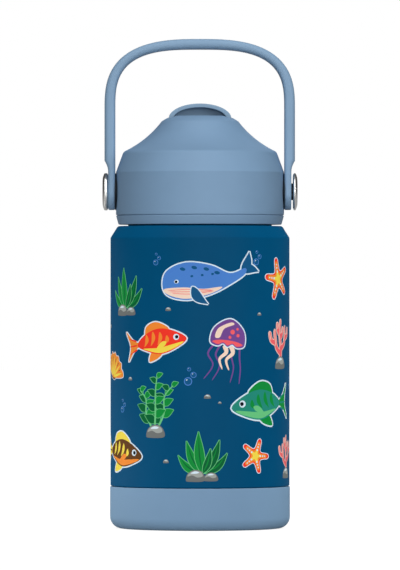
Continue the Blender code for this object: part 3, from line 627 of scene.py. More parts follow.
def coral_tree():
    """Branching coral on a stone."""
    branches = (((0.0, -0.6), (0.02, -0.1), (-0.06, 0.4), (0.02, 0.85)),
                ((0.0, -0.35), (-0.3, -0.1), (-0.4, 0.5)),
                ((0.02, -0.2), (0.34, 0.06), (0.38, 0.62)), ((-0.34, 0.02), (-0.6, 0.12), (-0.7, 0.42)),
                ((0.35, 0.18), (0.62, 0.3), (0.68, 0.56)), ((-0.04, 0.3), (-0.2, 0.5), (-0.22, 0.74)),
                ((0.0, 0.2), (0.14, 0.36), (0.2, 0.58)))
    shapes = [stroke(branch, 0.085, 0.062) for branch in branches]
    lights = [stroke([(x - 0.02, y) for x, y in branch[1:]], 0.022, 0.012) for branch in branches]
    return [*[("pink", grown(shape, 0.026)) for shape in shapes], *[("coral", shape) for shape in shapes],
            *[("pink", shape) for shape in lights], *pebble(0.0, -0.66, 0.36)]


def bubbles():
    """Three bubbles, each a ring with a glint."""
    shapes = []
    for x, y, size in ((-0.2, -0.5, 0.42), (0.35, 0.15, 0.3), (-0.1, 0.72, 0.2)):
        shapes += [("blue", oval(x, y, size, size)), ("deep_blue", oval(x, y, size * 0.8, size * 0.8)),
                   ("pale", oval(x - size * 0.3, y + size * 0.35, size * 0.2, size * 0.12, 40))]
    return shapes


screens = {ink: bmesh.new() for ink in ink_colours}


def stamp(motif, around, up, size, turn=0.0, facing=1.0):
    """Print a motif, drawn about two units wide, at a place round the wall. Sizes are in mm."""
    spin = Matrix.Rotation(radians(turn), 2) * (size / 2.0)
    points, outlines, cuts = [], [], []
    for ink, shape in motif:
        placed = [Vector((around, up)) + spin @ Vector((facing * x, y)) for x, y in shape]
        if sum(here.cross(placed[index - 1]) for index, here in enumerate(placed)) > 0.0:
            placed.reverse()
        outlines.append(range(len(points), len(points) + len(placed)))
        points += placed
    for strip in range(int((around - size) / strip_width) - 1, int((around + size) / strip_width) + 2):
        cuts.append((len(points), len(points) + 1))
        points += [Vector((strip * strip_width, up - size)), Vector((strip * strip_width, up + size))]
    flat, _, faces, _, _, sources = delaunay_2d_cdt(points, cuts, outlines, 1, 0.00001)
    corners = {}
    for face, source in zip(faces, sources):
        if not source:
            continue
        ink = motif[max(source)][0]
        for index in face:
            if (ink, index) not in corners:
                angle = flat[index].x * 0.001 / body_radius
                corners[ink, index] = screens[ink].verts.new(
                    (film_top * sin(angle), -film_top * cos(angle), flat[index].y * 0.001))
        screens[ink].faces.new([corners[ink, index] for index in face])


half_round = pi * body_radius * 1000.0
for start in (0.0, half_round):
    stamp(whale(), start + 3, 100.5, 38, 6)
    stamp(fronds(), start - 35, 95, 22)
    stamp(starfish(), start + 38, 101, 17, 12)
    stamp(fish("red", "orange", "yellow"), start - 19, 75.5, 29, 8)
    stamp(jellyfish(), start + 11, 73, 28, -8)
    stamp(coral_tree(), start + 40, 75, 23)
    stamp(scallop(), start - 46, 66, 15, -14)
    stamp(kelp(), start - 19, 49, 27)
    stamp(fish("teal", "green", "mint"), start + 29, 50.5, 34, 4, -1.0)
    stamp(fish("brown", "yellow", "orange"), start - 40, 31, 31, -5)
    stamp(fronds(), start + 1, 29, 23)
    stamp(starfish(), start + 24, 30, 14, -20)
    stamp(coral_tree(), start + 46, 29.5, 20)
    for around, up, size in ((-13, 89, 3.6), (26, 87, 3), (-32, 61, 3.4), (3, 54, 4.2),
                             (8, 51.5, 2.2), (-14, 28, 3.6), (-52, 82, 4)):
        stamp(pebble(0.0, 0.0, 1.0), start + around, up, 2.0 * size / 3.0)
    for around, up, size in ((25, 109.5, 6.5), (-4, 62, 8), (52, 59, 5.5),
                             (-53, 92, 7), (-18, 109, 5.5), (-37, 50, 6)):
        stamp(bubbles(), start + around, up, size)


def bake(piece):
    """Turn a piece's modifiers into its mesh."""
    graph = bpy.context.evaluated_depsgraph_get()
    piece.data = bpy.data.meshes.new_from_object(piece.evaluated_get(graph))
    piece.modifiers.clear()
    piece.data.shade_smooth()
    piece.data.set_sharp_from_angle(angle=radians(32.0))


for ink, form in screens.items():
    piece = piece_of("print_" + ink, form)
    thicken = piece.modifiers.new("film", "SOLIDIFY")
    thicken.thickness = film_thickness
    bake(piece)
    dress(piece, coated("ink_" + ink, ink_colours[ink], print_gloss, 0.02), "bottle", "shell_coating")


# Inner liner
# The inner vessel that holds the drink: drawn stainless steel, spun smooth and electropolished.
# Its rim is rolled out over the shell's neck, where the two walls are welded and the vacuum is kept.
liner_low, liner_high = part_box("inner_liner")
liner_radius = liner_high.x
liner_floor = liner_low.z
rim_top = liner_high.z
liner_wall = 0.0006
liner_fillet = 0.0060
vacuum_gap = 0.0015
liner_neck = neck_radius - steel_wall - fit_gap
liner_shoulder = shoulder_height - steel_wall - vacuum_gap
steel_colour = (196, 196, 193)


def make_turned_lines():
    """Fine rings left on metal by spinning, turning or polishing about Z, with a few smudges."""
    group, given, result = new_group(
        "turned_lines", {"Position": "Vector", "Colour": "Color", "Gloss": "Float", "Lines": "Float"},
        {"Colour": "Color", "Roughness": "Float", "Height": "Float"})
    parts = add_node(group, "SeparateXYZ", {0: given.outputs["Position"]})
    flat = add_node(group, "CombineXYZ", {"X": parts.outputs["X"], "Y": parts.outputs["Y"]})
    radius = add_node(group, "VectorMath", {0: flat.outputs[0]}, operation="LENGTH")
    ring = add_node(group, "CombineXYZ", {"X": radius.outputs["Value"], "Z": parts.outputs["Z"]})
    lines = add_node(group, "TexNoise", {"Vector": ring.outputs[0], "Scale": given.outputs["Lines"],
                                         "Detail": 4.0})
    smudge = add_node(group, "TexNoise", {"Vector": given.outputs["Position"], "Scale": 170.0, "Detail": 3.0})
    value = add_node(group, "MapRange", {"Value": lines.outputs["Fac"], "From Min": 0.3, "From Max": 0.7,
                                         "To Min": 0.92, "To Max": 1.05})
    toned = add_node(group, "HueSaturation", {"Value": value.outputs[0], "Color": given.outputs["Colour"]})
    drift = add_node(group, "MapRange", {"Value": smudge.outputs["Fac"], "From Min": 0.35, "From Max": 0.7,
                                         "To Min": -0.03, "To Max": 0.07})
    gloss = add_node(group, "Math", {0: given.outputs["Gloss"], 1: drift.outputs[0]}, operation="ADD")
    group.links.new(toned.outputs["Color"], result.inputs["Colour"])
    group.links.new(gloss.outputs[0], result.inputs["Roughness"])
    group.links.new(lines.outputs["Fac"], result.inputs["Height"])
    return group


turned_lines = make_turned_lines()


def metal(name, colour, gloss, lines, centre=(0.0, 0.0, 0.0), turn=0.0):
    """Bare metal turned about a line. Turn is the angle about Y that brings that line to Z."""
    material, tree, shader = new_material(name)
    place = add_node(tree, "Mapping", {"Vector": add_node(tree, "TexCoord").outputs["Object"],
                                       "Location": Matrix.Rotation(turn, 3, "Y") @ -Vector(centre),
                                       "Rotation": (0.0, turn, 0.0)})
    surface = use_group(tree, turned_lines, Colour=linear(*colour), Gloss=gloss, Lines=lines)
    tree.links.new(place.outputs["Vector"], surface.inputs["Position"])
    tree.links.new(surface.outputs["Colour"], shader.inputs["Base Color"])
    tree.links.new(surface.outputs["Roughness"], shader.inputs["Roughness"])
    bump(tree, shader, surface.outputs["Height"], 0.000004)
    shader.inputs["Metallic"].default_value = 1.0
    return material


liner_bore = liner_neck - liner_wall
liner_inside = liner_radius - liner_wall
liner_roof = liner_shoulder - liner_wall
liner = lathe("steel_liner", rounded(
    (0.0, liner_floor + liner_wall),
    (liner_inside, liner_floor + liner_wall, liner_fillet - liner_wall),
    (liner_inside, liner_roof - shoulder_drop, shoulder_round),
    (liner_inside - shoulder_inset, liner_roof, shoulder_round),
    (liner_bore, liner_roof, 0.0010),
    (liner_bore, rim_top, 0.0004),
    (neck_radius, rim_top, 0.00025),
    (neck_radius, rim_top - liner_wall, 0.00025),
    (liner_neck, rim_top - liner_wall),
    (liner_neck, liner_shoulder),
    (liner_radius - shoulder_inset, liner_shoulder),
    (liner_radius, liner_shoulder - shoulder_drop),
    (liner_radius, liner_floor, liner_fillet),
    (0.0, liner_floor),
))
dress(liner, metal("liner_steel", steel_colour, 0.24, 2600.0), "bottle", "bare_steel", "inner_liner")


# Base plate and getter
# A dished steel disc welded into the shell's foot, with the grey pellet that keeps the vacuum dry.
# Both sit out of sight between the boot and the liner, so the CAD solids are shown as they are.
def repaint(node, material):
    """A better material on a CAD node whose shape is right."""
    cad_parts[node].material_slots[0].material = material


repaint("base_plate", metal("plate_steel", (182, 182, 180), 0.34, 1800.0))
repaint("vacuum_getter", metal("getter_alloy", (92, 92, 95), 0.62, 5200.0))


# Neck gasket
# A ring of white silicone that the lid presses on the rim, with two thin lips that do the sealing.
# It is moulded, and stays in the lid when that is unscrewed.
gasket_low, gasket_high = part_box("neck_gasket")
gasket_radius = gasket_high.x
gasket_bottom = gasket_low.z
gasket_top = gasket_high.z
gasket_width = 0.0022
gasket_waist = 0.0003
silicone_colour = (226, 228, 226)
seal_silicone = moulded("seal_silicone", silicone_colour, 0.48, tone=0.01, grains=2600.0, matt=0.4)

gasket_middle = (gasket_bottom + gasket_top) / 2.0
gasket_inner = gasket_radius - gasket_width
gasket = lathe("lip_gasket", rounded(
    (gasket_radius, gasket_top, 0.0003),
    (gasket_radius - gasket_waist, gasket_middle, 0.0003),
    (gasket_radius, gasket_bottom, 0.0003),
    (gasket_inner, gasket_bottom, 0.0003),
    (gasket_inner + gasket_waist, gasket_middle, 0.0003),
    (gasket_inner, gasket_top, 0.0003),
))
dress(gasket, seal_silicone, "gasket", "seal_silicone", "neck_gasket")


# Lid core
# The threaded inner half of the lid, moulded in the lid's own plastic: a skirt that screws on the neck,
# a sealing disc, and a tower that carries the spout. Only its lower band shows, under the seam.
core_low, core_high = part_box("lid_core")
lid_low, lid_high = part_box("lid_shell")
spout_low, spout_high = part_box("spout")
pin_low, pin_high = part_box("spout_pin_right")
straw_low, straw_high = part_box("straw")
lid_bottom = core_low.z
lid_radius = lid_high.x
platform = lid_high.z
seam_gap = fit_gap
seam_drop = 0.00035
core_radius = core_high.x
core_draft = 0.0010
core_lip = 0.0008
lid_wall = 0.0022
deck_thickness = 0.0058
skirt_inner = neck_radius + 0.0012
skirt_outer = skirt_inner + 0.0016
disc_bottom = gasket_top + fit_gap
disc_top = disc_bottom + 0.0020
tower_radius = 0.0150
tower_bore = tower_radius - 0.0020
tower_top = platform - deck_thickness - fit_gap
tower_roof = tower_top - 0.0110
hinge = Vector((0.0, (pin_low.y + pin_high.y) / 2.0, (pin_low.z + pin_high.z) / 2.0))
hub_radius = hinge.z - spout_low.z
hub_end = 0.0080
straw_radius = straw_high.x
straw_top = straw_high.z
spigot_radius = straw_radius + 0.0020
spigot_bottom = disc_bottom - 0.0055
seal_radius = 0.0039
seal_bottom = hinge.z - hub_radius - 0.0027
port_radius = 0.0026
vent_offset = (tower_radius + gasket_inner) / 2.0
vent_stem = 0.0013
lid_colour = (128, 161, 193)
core_plastic = moulded("core_plastic", lid_colour, 0.56, specular=0.3)


def carve(piece, operation, *tools):
    """Join tools to a piece, or cut them out of it, and drop them."""
    rack = bpy.data.collections.new("tools")
    bpy.context.scene.collection.children.link(rack)
    for tool in tools:
        bpy.context.scene.collection.objects.unlink(tool)
        rack.objects.link(tool)
    boolean = piece.modifiers.new(operation, "BOOLEAN")
    boolean.operation = operation
    boolean.operand_type = "COLLECTION"
    boolean.collection = rack
    bake(piece)
    for tool in tools:
        bpy.data.objects.remove(tool)
    bpy.data.collections.remove(rack)


def rod(radius, start, end, along=(0, 0, 1), through=(0.0, 0.0, 0.0), segments=64):
    """Round tool from start to end along a line through a point, its facets turned off the lathe's."""
    tool = lathe("rod", [(0.0, start), (radius, start), (radius, end), (0.0, end)], segments)
    turn = Vector((0, 0, 1)).rotation_difference(Vector(along)).to_matrix().to_4x4()
    off_lathe = Matrix.Rotation(0.35 * 2.0 * pi / segments, 4, "Z")
    tool.data.transform(Matrix.Translation(through) @ turn @ off_lathe)
    return tool


def block(low, high):
    """Box tool between two corners."""
    form = bmesh.new()
    bmesh.ops.create_cube(form, size=1.0)
    low = Vector(low)
    size = Vector(high) - low
    bmesh.ops.scale(form, vec=size, verts=form.verts)
    bmesh.ops.translate(form, vec=low + size / 2.0, verts=form.verts)
    return piece_of("block", form)


cover_bottom = lid_low.z - seam_drop
flange_top = cover_bottom - seam_gap
lip_radius = lid_radius - lid_wall - fit_gap
collar_room = collar_radius + 2.0 * fit_gap
collar_roof = collar_top + 2.0 * fit_gap
core = lathe("threaded_core", rounded(
    (0.0, tower_top),
    (tower_radius, tower_top, 0.0005),
    (tower_radius, disc_top, 0.0008),
    (skirt_outer, disc_top, 0.0008),
    (skirt_outer, flange_top + core_lip),
    (lip_radius, flange_top + core_lip),
    (lip_radius, flange_top),
    (core_radius, flange_top, 0.0002),
    (core_radius - core_draft, lid_bottom, 0.0004),
    (collar_room, lid_bottom, 0.0004),
    (collar_room, collar_roof),
    (skirt_inner, collar_roof, 0.0003),
    (skirt_inner, disc_bottom),
    (tower_bore, disc_bottom, 0.0006),
    (tower_bore, tower_roof, 0.0010),
    (0.0, tower_roof),
))
straw_line = (0.0, hinge.y, 0.0)
post_top = core_high.z
post_start = hub_end + 2.0 * fit_gap
pin_radius = (pin_high.z - pin_low.z) / 2.0
post_bottom = tower_top - core_lip
carve(core, "UNION",
      rod(spigot_radius, spigot_bottom, tower_roof + core_lip, through=straw_line),
      block((-pin_high.x, hinge.y - pin_radius, post_bottom), (-post_start, hinge.y + pin_radius, post_top)),
      block((post_start, hinge.y - pin_radius, post_bottom), (pin_high.x, hinge.y + pin_radius, post_top)))
socket_top = straw_top + fit_gap
carve(core, "DIFFERENCE",
      rod(hub_radius + fit_gap, -hub_end - fit_gap, hub_end + fit_gap, (1, 0, 0), hinge, 96),
      rod(seal_radius + fit_gap, seal_bottom - fit_gap, hinge.z, through=straw_line),
      rod(port_radius, socket_top - core_lip, hinge.z, through=straw_line),
      rod(straw_radius + fit_gap, spigot_bottom - core_lip, socket_top, through=straw_line),
      rod(vent_stem + fit_gap, disc_bottom - core_lip, disc_top + core_lip, through=(0.0, -vent_offset, 0.0)))
dress(core, core_plastic, "lid", "lid_plastic", "lid_core")
core_thread = helical_thread("core_thread", skirt_inner, -0.00045, collar_roof + 0.0022, thread_turns)
dress(core_thread, core_plastic, "lid", "lid_plastic")


# Lid cover
# The outer half of the lid, moulded in satin pale blue plastic: an upright wall, a chamfer and a hollow cone
# up to a small platform, slotted for the spout. It is welded on the core; the seam shows as a fine groove.
platform_flat = 0.0110
platform_radius = 0.0156
platform_drop = 0.0022
platform_bulge = 0.00025
cone_hollow = 0.0012
chamfer_top = platform - 0.0145
chamfer_inset = 0.00305
wall_top = chamfer_top - 0.0083
draft_height = 0.0018
seam_depth = 0.0004
seam_line = 0.00002
deck_bottom = platform - deck_thickness
swing_gap = 0.0004
side_gap = 0.00005
hood_half_width = spout_high.x
hood_lip = spout_low.y
hood_rear = hinge.y - 0.0047
slot_front = hood_lip - 0.0007
slot_rear = hinge.y - 0.0033
pin_bore = pin_radius + fit_gap
rivet_low, rivet_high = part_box("handle_rivet_right")
insert_low, insert_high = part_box("handle_insert_right")
pivot = Vector((0.0, 0.0, (rivet_low.z + rivet_high.z) / 2.0))
boss_radius = 0.0052
pad_radius = 0.0080
pad_face = 0.03375
boss_face = insert_low.x - fit_gap
insert_radius = insert_high.y
cover_plastic = moulded("cover_plastic", lid_colour, 0.56, specular=0.3, edge=0.0003)


def bow(start, end, rise, steps=16):
    """Arc from start to end, without its ends, that bulges by rise to the right of its way."""
    start = Vector(start)
    chord = Vector(end) - start
    side = Vector((chord.y, -chord.x)).normalized()
    radius = (chord.length_squared / 4.0 + rise * rise) / (2.0 * abs(rise))
    points = []
    for step in range(1, steps):
        from_middle = (step / steps - 0.5) * chord.length
        height = sqrt(radius * radius - from_middle * from_middle) - radius + abs(rise)
        points.append(start + chord * step / steps + side * (height if rise > 0.0 else -height))
    return points


platform_edge = (platform_radius, platform - platform_drop)
flare = (lid_radius - chamfer_inset, chamfer_top)
cover_inner = lid_radius - lid_wall
inner_flare = (cover_inner - chamfer_inset, chamfer_top - lid_wall / 2.0)
cover = lathe("lid_cover", rounded(
    (0.0, platform),
    (platform_flat, platform),
    *bow((platform_flat, platform), platform_edge, -platform_bulge),
    (*platform_edge, 0.0004),
    *bow(platform_edge, flare, cone_hollow, 12),
    (*flare, 0.0024),
    (lid_radius, wall_top, 0.0006),
    (lid_radius, cover_bottom + draft_height, 0.0030),
    (core_radius, cover_bottom, 0.0002),
    (core_radius - seam_depth, cover_bottom),
    (core_radius - seam_depth, flange_top + seam_line),
    (cover_inner, flange_top + seam_line),
    (cover_inner, wall_top - lid_wall / 2.0),
    inner_flare,
    *bow(inner_flare, (platform_radius, deck_bottom), -cone_hollow, 12),
    (platform_radius, deck_bottom),
    (0.0, deck_bottom),
))
sides = ((-1, 0, 0), (1, 0, 0))
carve(cover, "UNION", *(rod(boss_radius, boss_face, pad_face, side, pivot) for side in sides))
slot_bottom = deck_bottom - lid_wall
slot_top = platform + lid_wall
hood_end = hood_half_width + side_gap
hub_room = hub_end + fit_gap
hub_rear = spout_high.y + swing_gap
pin_room = pin_high.x + fit_gap
carve(cover, "DIFFERENCE",
      block((-hood_end, slot_front, slot_bottom), (hood_end, slot_rear, slot_top)),
      block((-hub_room, hood_rear, slot_bottom - lid_wall), (hub_room, hub_rear, slot_top + lid_wall)),
      block((-pin_room, hinge.y - pin_bore, slot_bottom - lid_wall), (pin_room, hinge.y + pin_bore, hinge.z)),
      rod(pin_bore, -pin_room, pin_room, (1, 0, 0), hinge),
      *(rod(pad_radius, pad_face, lid_radius * 1.2, side, pivot) for side in sides),
      *(rod(insert_radius + fit_gap, boss_face - lid_wall, lid_radius, side, pivot) for side in sides))
dress(cover, cover_plastic, "lid", "lid_plastic", "lid_shell")


# Flip spout
# A hollow hood on an arm and a barrel, moulded in the lid's plastic, that lies folded in its slot.
# It turns up on two steel pins, and in that place the passage through its barrel meets the straw.
spout_spring = hinge.z + 0.0018
hood_rise = spout_high.z - spout_spring
hood_bottom = deck_bottom
hood_side = 0.0021
hood_crown = 0.0016
hood_floor = 0.0011
crown_length = 0.0045
hood_bulge = 0.0006
mouth_depth = 0.0055
passage_radius = 0.0022
spout_voxel = 0.0002
# The spout takes the lid's plastic painted a little lighter: the lighter tone is painted light, where its lip
# catches the light.
spout_plastic = moulded("spout_plastic", (135, 165, 191), 0.56, specular=0.3)


def prism(points, start, end, drawn):
    """Tool or piece of a flat outline, drawn in "XZ" or "YZ" and pushed along the third axis."""
    form = bmesh.new()
    ends = []
    for depth in (start, end):
        ends.append([form.verts.new((across, depth, up) if drawn == "XZ" else (depth, across, up))
                     for across, up in points])
    for index in range(len(points)):
        form.faces.new((ends[0][index - 1], ends[0][index], ends[1][index], ends[1][index - 1]))
    for loop in ends:
        form.faces.new(loop)
    bmesh.ops.recalc_face_normals(form, faces=form.faces)
    return piece_of("prism", form)


def arch(half_width, rise, foot, steps=48):
    """Half ellipse on upright legs, from its right foot over to its left one."""
    crown = [(half_width * cos(pi * step / steps), spout_spring + rise * sin(pi * step / steps))
             for step in range(steps + 1)]
    return [(half_width, foot), *crown, (-half_width, foot)]


spout = prism(arch(hood_half_width, hood_rise, hood_bottom), hood_lip, hood_rear, "XZ")
spout.name = "flip_spout"
crown_above = spout_high.z + fit_gap
fall_start = (hood_lip + crown_length, crown_above)
fall_end = (hood_rear + fit_gap, hinge.z + hub_radius + fit_gap)
fall = prism([
    fall_start,
    *bow(fall_start, fall_end, -hood_bulge),
    fall_end,
    (hinge.y, fall_end[1]),
    (hinge.y, crown_above + hood_rise),
    (fall_start[0], crown_above + hood_rise),
], -2.0 * hood_half_width, 2.0 * hood_half_width, "YZ")
barrel = [(hinge.y + hub_radius * cos(radians(angle)), hinge.z + hub_radius * sin(radians(angle)))
          for angle in range(214, 451, 4)]
arm_front = hood_rear - hood_side
arm = prism([(arm_front, hinge.z + hub_radius), (arm_front, hood_bottom + hood_floor / 2.0), *barrel],
            -hub_end, hub_end, "YZ")
carve(spout, "UNION", arm)
carve(spout, "DIFFERENCE",
      fall,
      prism(arch(hood_half_width - hood_side, hood_rise - hood_crown, hood_bottom + hood_floor),
            hood_lip - mouth_depth, hood_lip + mouth_depth, "XZ"),
      rod(passage_radius, -2.0 * hub_radius, hinge.y - hood_lip - mouth_depth / 2.0, (0, -1, 0), hinge),
      *(rod(pin_bore, pin_low.x - fit_gap, pin_high.x, side, hinge, 32) for side in sides))
remesh = spout.modifiers.new("remesh", "REMESH")
remesh.mode = "VOXEL"
remesh.voxel_size = spout_voxel
soften = spout.modifiers.new("soften", "SMOOTH")
soften.factor = 0.5
soften.iterations = 5
bake(spout)
dress(spout, spout_plastic, "spout", "lid_plastic", "spout")


# Spout pins, seal, straw and vent
# Two ground steel pins, a saddle seal and a mushroom vent valve of white silicone, and an extruded straw.
# The pins are pressed into the barrel, the straw pushes into the core's spigot and the valve into its hole.
pin_chamfer = 0.0003
pin_steel = metal("pin_steel", steel_colour, 0.2, 5200.0, hinge, pi / 2.0)
for side_name, side in zip(("left", "right"), sides):
    pin = lathe("hinge_pin_" + side_name, rounded(
        (0.0, pin_high.x),
        (pin_radius, pin_high.x, pin_chamfer),
        (pin_radius, pin_low.x, pin_chamfer),
        (0.0, pin_low.x),
    ), 48)
    pin.data.transform(Matrix.Translation(hinge) @ Matrix.Rotation(side[0] * pi / 2.0, 4, "Y"))
    dress(pin, pin_steel, "spout", "polished_steel", "spout_pin_" + side_name)

seal_blank_top = hinge.z - hub_radius / 2.0
seal = lathe("saddle_seal", rounded(
    (seal_radius, seal_blank_top),
    (seal_radius, seal_bottom, 0.0003),
    (passage_radius, seal_bottom, 0.0003),
    (passage_radius, seal_blank_top),
), 96)
seal.data.transform(Matrix.Translation(straw_line))
carve(seal, "DIFFERENCE",
      rod(hub_radius + fit_gap, -2.0 * seal_radius, 2.0 * seal_radius, (1, 0, 0), hinge, 96))
dress(seal, seal_silicone, "lid", "seal_silicone", "spout_seal")

straw_bore = straw_radius - 0.0010
straw_round = 0.0003
straw = lathe("drinking_straw", rounded(
    (straw_radius, straw_top, straw_round),
    (straw_radius, straw_low.z, straw_round),
    (straw_bore, straw_low.z, straw_round),
    (straw_bore, straw_top, straw_round),
), 96)
straw.data.transform(Matrix.Translation(straw_line))
straw_plastic = moulded("straw_plastic", (214, 222, 228), 0.34, tone=0.01, grains=1500.0)
dress(straw, straw_plastic, "lid", "straw_plastic", "straw")

vent_low, vent_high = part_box("vent_valve")
vent_cap = vent_high.x
cap_top = disc_bottom - fit_gap
bulb_bottom = disc_top + fit_gap
vent = lathe("mushroom_vent", rounded(
    (0.0, vent_high.z),
    (vent_stem / 2.0, vent_high.z, 0.0002),
    (0.0021, bulb_bottom, 0.0002),
    (vent_stem, bulb_bottom),
    (vent_stem, cap_top),
    (vent_cap, cap_top, 0.0001),
    (vent_cap, cap_top - vent_stem / 4.0, 0.0001),
    (vent_stem, vent_low.z, 0.0004),
    (0.0, vent_low.z),
), 64)
vent.data.transform(Matrix.Translation((0.0, -vent_offset, 0.0)))
dress(vent, seal_silicone, "lid", "seal_silicone", "vent_valve")


# Carry handle
# A strap of the lid's plastic, moulded with round edges: a wide arch, straight legs and thinned round ends.
# Each end turns on a bush, and hangs a little to one side because the bushes leave it some play.
handle_low, handle_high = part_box("handle")
handle_shift = (handle_low.x + handle_high.x) / 2.0
leg_outer = (handle_high.x - handle_low.x) / 2.0
strap_half_width = handle_high.y
strap_thickness = 0.00425
strap_outer_round = 0.0018
leg_inner_round = 0.0012
crown_inner_round = 0.0023
leg_inner = leg_outer - strap_thickness
tab_outer = leg_inner + 0.0028
tab_radius = pivot.z - handle_low.z
tab_round = 0.00065
relief_bottom = pivot.z + 0.0083
relief_top = pivot.z + 0.0125
relief_power = 1.8
arch_height = 0.0280
arch_base = handle_high.z - arch_height
arch_power = 2.75
arch_inner_power = 3.05
crown_thickness = 0.0040
sleeve_radius = 0.0034
# The strap takes the lid's plastic painted lighter: the lighter tone is painted light, for the light that
# falls on the strap.
handle_plastic = moulded("handle_plastic", (138, 170, 200), 0.56, specular=0.3)


def strap_section(inner, outer, half_width, inner_round, corner_steps=6):
    """Rounded oblong across the strap, between an inner and an outer point of its side view."""
    inner, outer = Vector(inner), Vector(outer)
    middle = (inner + outer) / 2.0
    half_thickness = (outer - inner).length / 2.0
    outward = (outer - inner).normalized()
    points = []
    for quarter in range(4):
        toward = (1.0 if quarter in (0, 3) else -1.0, 1.0 if quarter in (0, 1) else -1.0)
        corner = strap_outer_round if toward[0] > 0.0 else inner_round
        corner = min(corner, 0.92 * half_thickness, 0.92 * half_width)
        for step in range(corner_steps + 1):
            angle = pi / 2.0 * (quarter + step / corner_steps)
            out = toward[0] * (half_thickness - corner) + corner * cos(angle)
            depth = toward[1] * (half_width - corner) + corner * sin(angle)
            place = middle + outward * out
            points.append((place.x, depth, place.y))
    return points


def right_half_of_strap():
    """(inner point, outer point, half width, inner round) of the sections from the right end to the crown."""
    sections = []
    end_steps = 14
    for step in range(1, end_steps + 1):
        angle = pi / 2.0 * step / end_steps
        height = pivot.z - tab_radius * cos(angle)
        above_end = min(height - handle_low.z, tab_round)
        drawn_in = tab_round - sqrt(2.0 * tab_round * above_end - above_end * above_end)
        half_width = min(strap_half_width, tab_radius * sin(angle))
        inner = (leg_inner + drawn_in, height)
        outer = (tab_outer - drawn_in, height)
        sections.append((inner, outer, half_width, leg_inner_round))
    relief_steps = 12
    for step in range(relief_steps + 1):
        share = step / relief_steps
        height = relief_bottom + (relief_top - relief_bottom) * share
        outer = tab_outer + (leg_outer - tab_outer) * share ** relief_power
        sections.append(((leg_inner, height), (outer, height), strap_half_width, leg_inner_round))
    arch_steps = 48
    for step in range(arch_steps):
        angle = pi / 2.0 * step / arch_steps
        inner = (leg_inner * cos(angle) ** (2.0 / arch_inner_power),
                 arch_base + (arch_height - crown_thickness) * sin(angle) ** (2.0 / arch_inner_power))
        outer = (leg_outer * cos(angle) ** (2.0 / arch_power),
                 arch_base + arch_height * sin(angle) ** (2.0 / arch_power))
        inner_round = leg_inner_round + (crown_inner_round - leg_inner_round) * step / arch_steps
        sections.append((inner, outer, strap_half_width, inner_round))
    return sections


def make_handle():
    """Loft of the strap's sections from its right end over the crown to its left end."""
    right = right_half_of_strap()
    crown = ((0.0, handle_high.z - crown_thickness), (0.0, handle_high.z),
             strap_half_width, crown_inner_round)
    left = [((-inner[0], inner[1]), (-outer[0], outer[1]), *rest) for inner, outer, *rest in right]
    form = bmesh.new()
    loops = []
    for section in [*right, crown, *reversed(left)]:
        loops.append([form.verts.new(point) for point in strap_section(*section)])
    for here, there in zip(loops, loops[1:]):
        for index in range(len(here)):
            form.faces.new((here[index - 1], here[index], there[index], there[index - 1]))
    form.faces.new(loops[0])
    form.faces.new(loops[-1])
    bmesh.ops.recalc_face_normals(form, faces=form.faces)
    bmesh.ops.translate(form, vec=(handle_shift, 0.0, 0.0), verts=form.verts)
    return piece_of("strap_handle", form)


handle = make_handle()
carve(handle, "DIFFERENCE", *(rod(sleeve_radius + fit_gap, leg_inner * 0.8, leg_outer * 1.2, side, pivot)
                              for side in sides))
dress(handle, handle_plastic, "handle", "lid_plastic", "handle")


# Handle pivots
# On each side a polished steel rivet with a flat domed head, through a black nylon bush with a thin flange.
# The rivet's shank screws into a brass insert pressed into the lid's boss; the right one stands out a little.
head_top = rivet_high.x
head_radius = rivet_high.y
head_flat = 0.0048
head_edge = head_top - 0.0008
head_bulge = 0.00018
head_round = 0.0004
under_chamfer = 0.0004
shank_radius = 0.0021
sleeve_bore = shank_radius + fit_gap
flange_radius = 0.0075
flange_play = 0.00004
head_stand_off = (0.0, 0.00045)
rivet_steel = metal("rivet_steel", (238, 237, 234), 0.3, 4200.0, pivot, pi / 2.0)
bush_nylon = moulded("bush_nylon", (6, 12, 24), 0.5, grains=4200.0, wear_and_highlight=0.1, specular=0.2)
insert_brass = metal("insert_brass", (190, 150, 80), 0.34, 5200.0, pivot, pi / 2.0)
for side_name, side, stand_off in zip(("left", "right"), sides, head_stand_off):
    outwards = Matrix.Translation(pivot) @ Matrix.Rotation(side[0] * pi / 2.0, 4, "Y")
    rivet_seat = tab_outer + abs(handle_shift) + flange_play + stand_off
    rivet = lathe("pivot_rivet_" + side_name, rounded(
        (0.0, head_top),
        (head_flat, head_top),
        *bow((head_flat, head_top), (head_radius, head_edge), -head_bulge, 5),
        (head_radius, head_edge, head_round),
        (head_radius, rivet_seat + under_chamfer, head_round),
        (head_radius - 2.0 * under_chamfer, rivet_seat, 0.0001),
        (shank_radius, rivet_seat),
        (shank_radius, rivet_low.x),
        (0.0, rivet_low.x),
    ), 128)
    rivet.data.transform(outwards)
    dress(rivet, rivet_steel, "lid", "polished_steel", "handle_rivet_" + side_name)
    sleeve_end = rivet_seat - flange_play
    flange_inner = pad_face + flange_play
    flange_outer = leg_inner + side[0] * handle_shift - flange_play
    bush = lathe("pivot_bush_" + side_name, rounded(
        (sleeve_radius, sleeve_end, 0.0002),
        (sleeve_radius, flange_outer),
        (flange_radius, flange_outer, 0.0001),
        (flange_radius, flange_inner, 0.0001),
        (sleeve_bore, flange_inner),
        (sleeve_bore, sleeve_end),
    ), 128)
    bush.data.transform(outwards)
    dress(bush, bush_nylon, "lid", "bush_nylon", "handle_bush_" + side_name)
    repaint("handle_insert_" + side_name, insert_brass)


# Studio
# A pale floor, and a broad white cloth that hangs in front and above and leaves both sides dark. With it go a
# card at the camera, a strip on the right, small lamps at the boot and the left wall, and a soft one behind.
# The camera looks level and square at the bottle.
floor_radius = 5.0
floor_tone = 0.15
floor_lift = 0.92
floor_shine = 0.25
cloth_light = 2.43
side_light = 0.06
camera_distance = 2.717
camera_height = 0.0986
view_height = 0.2312

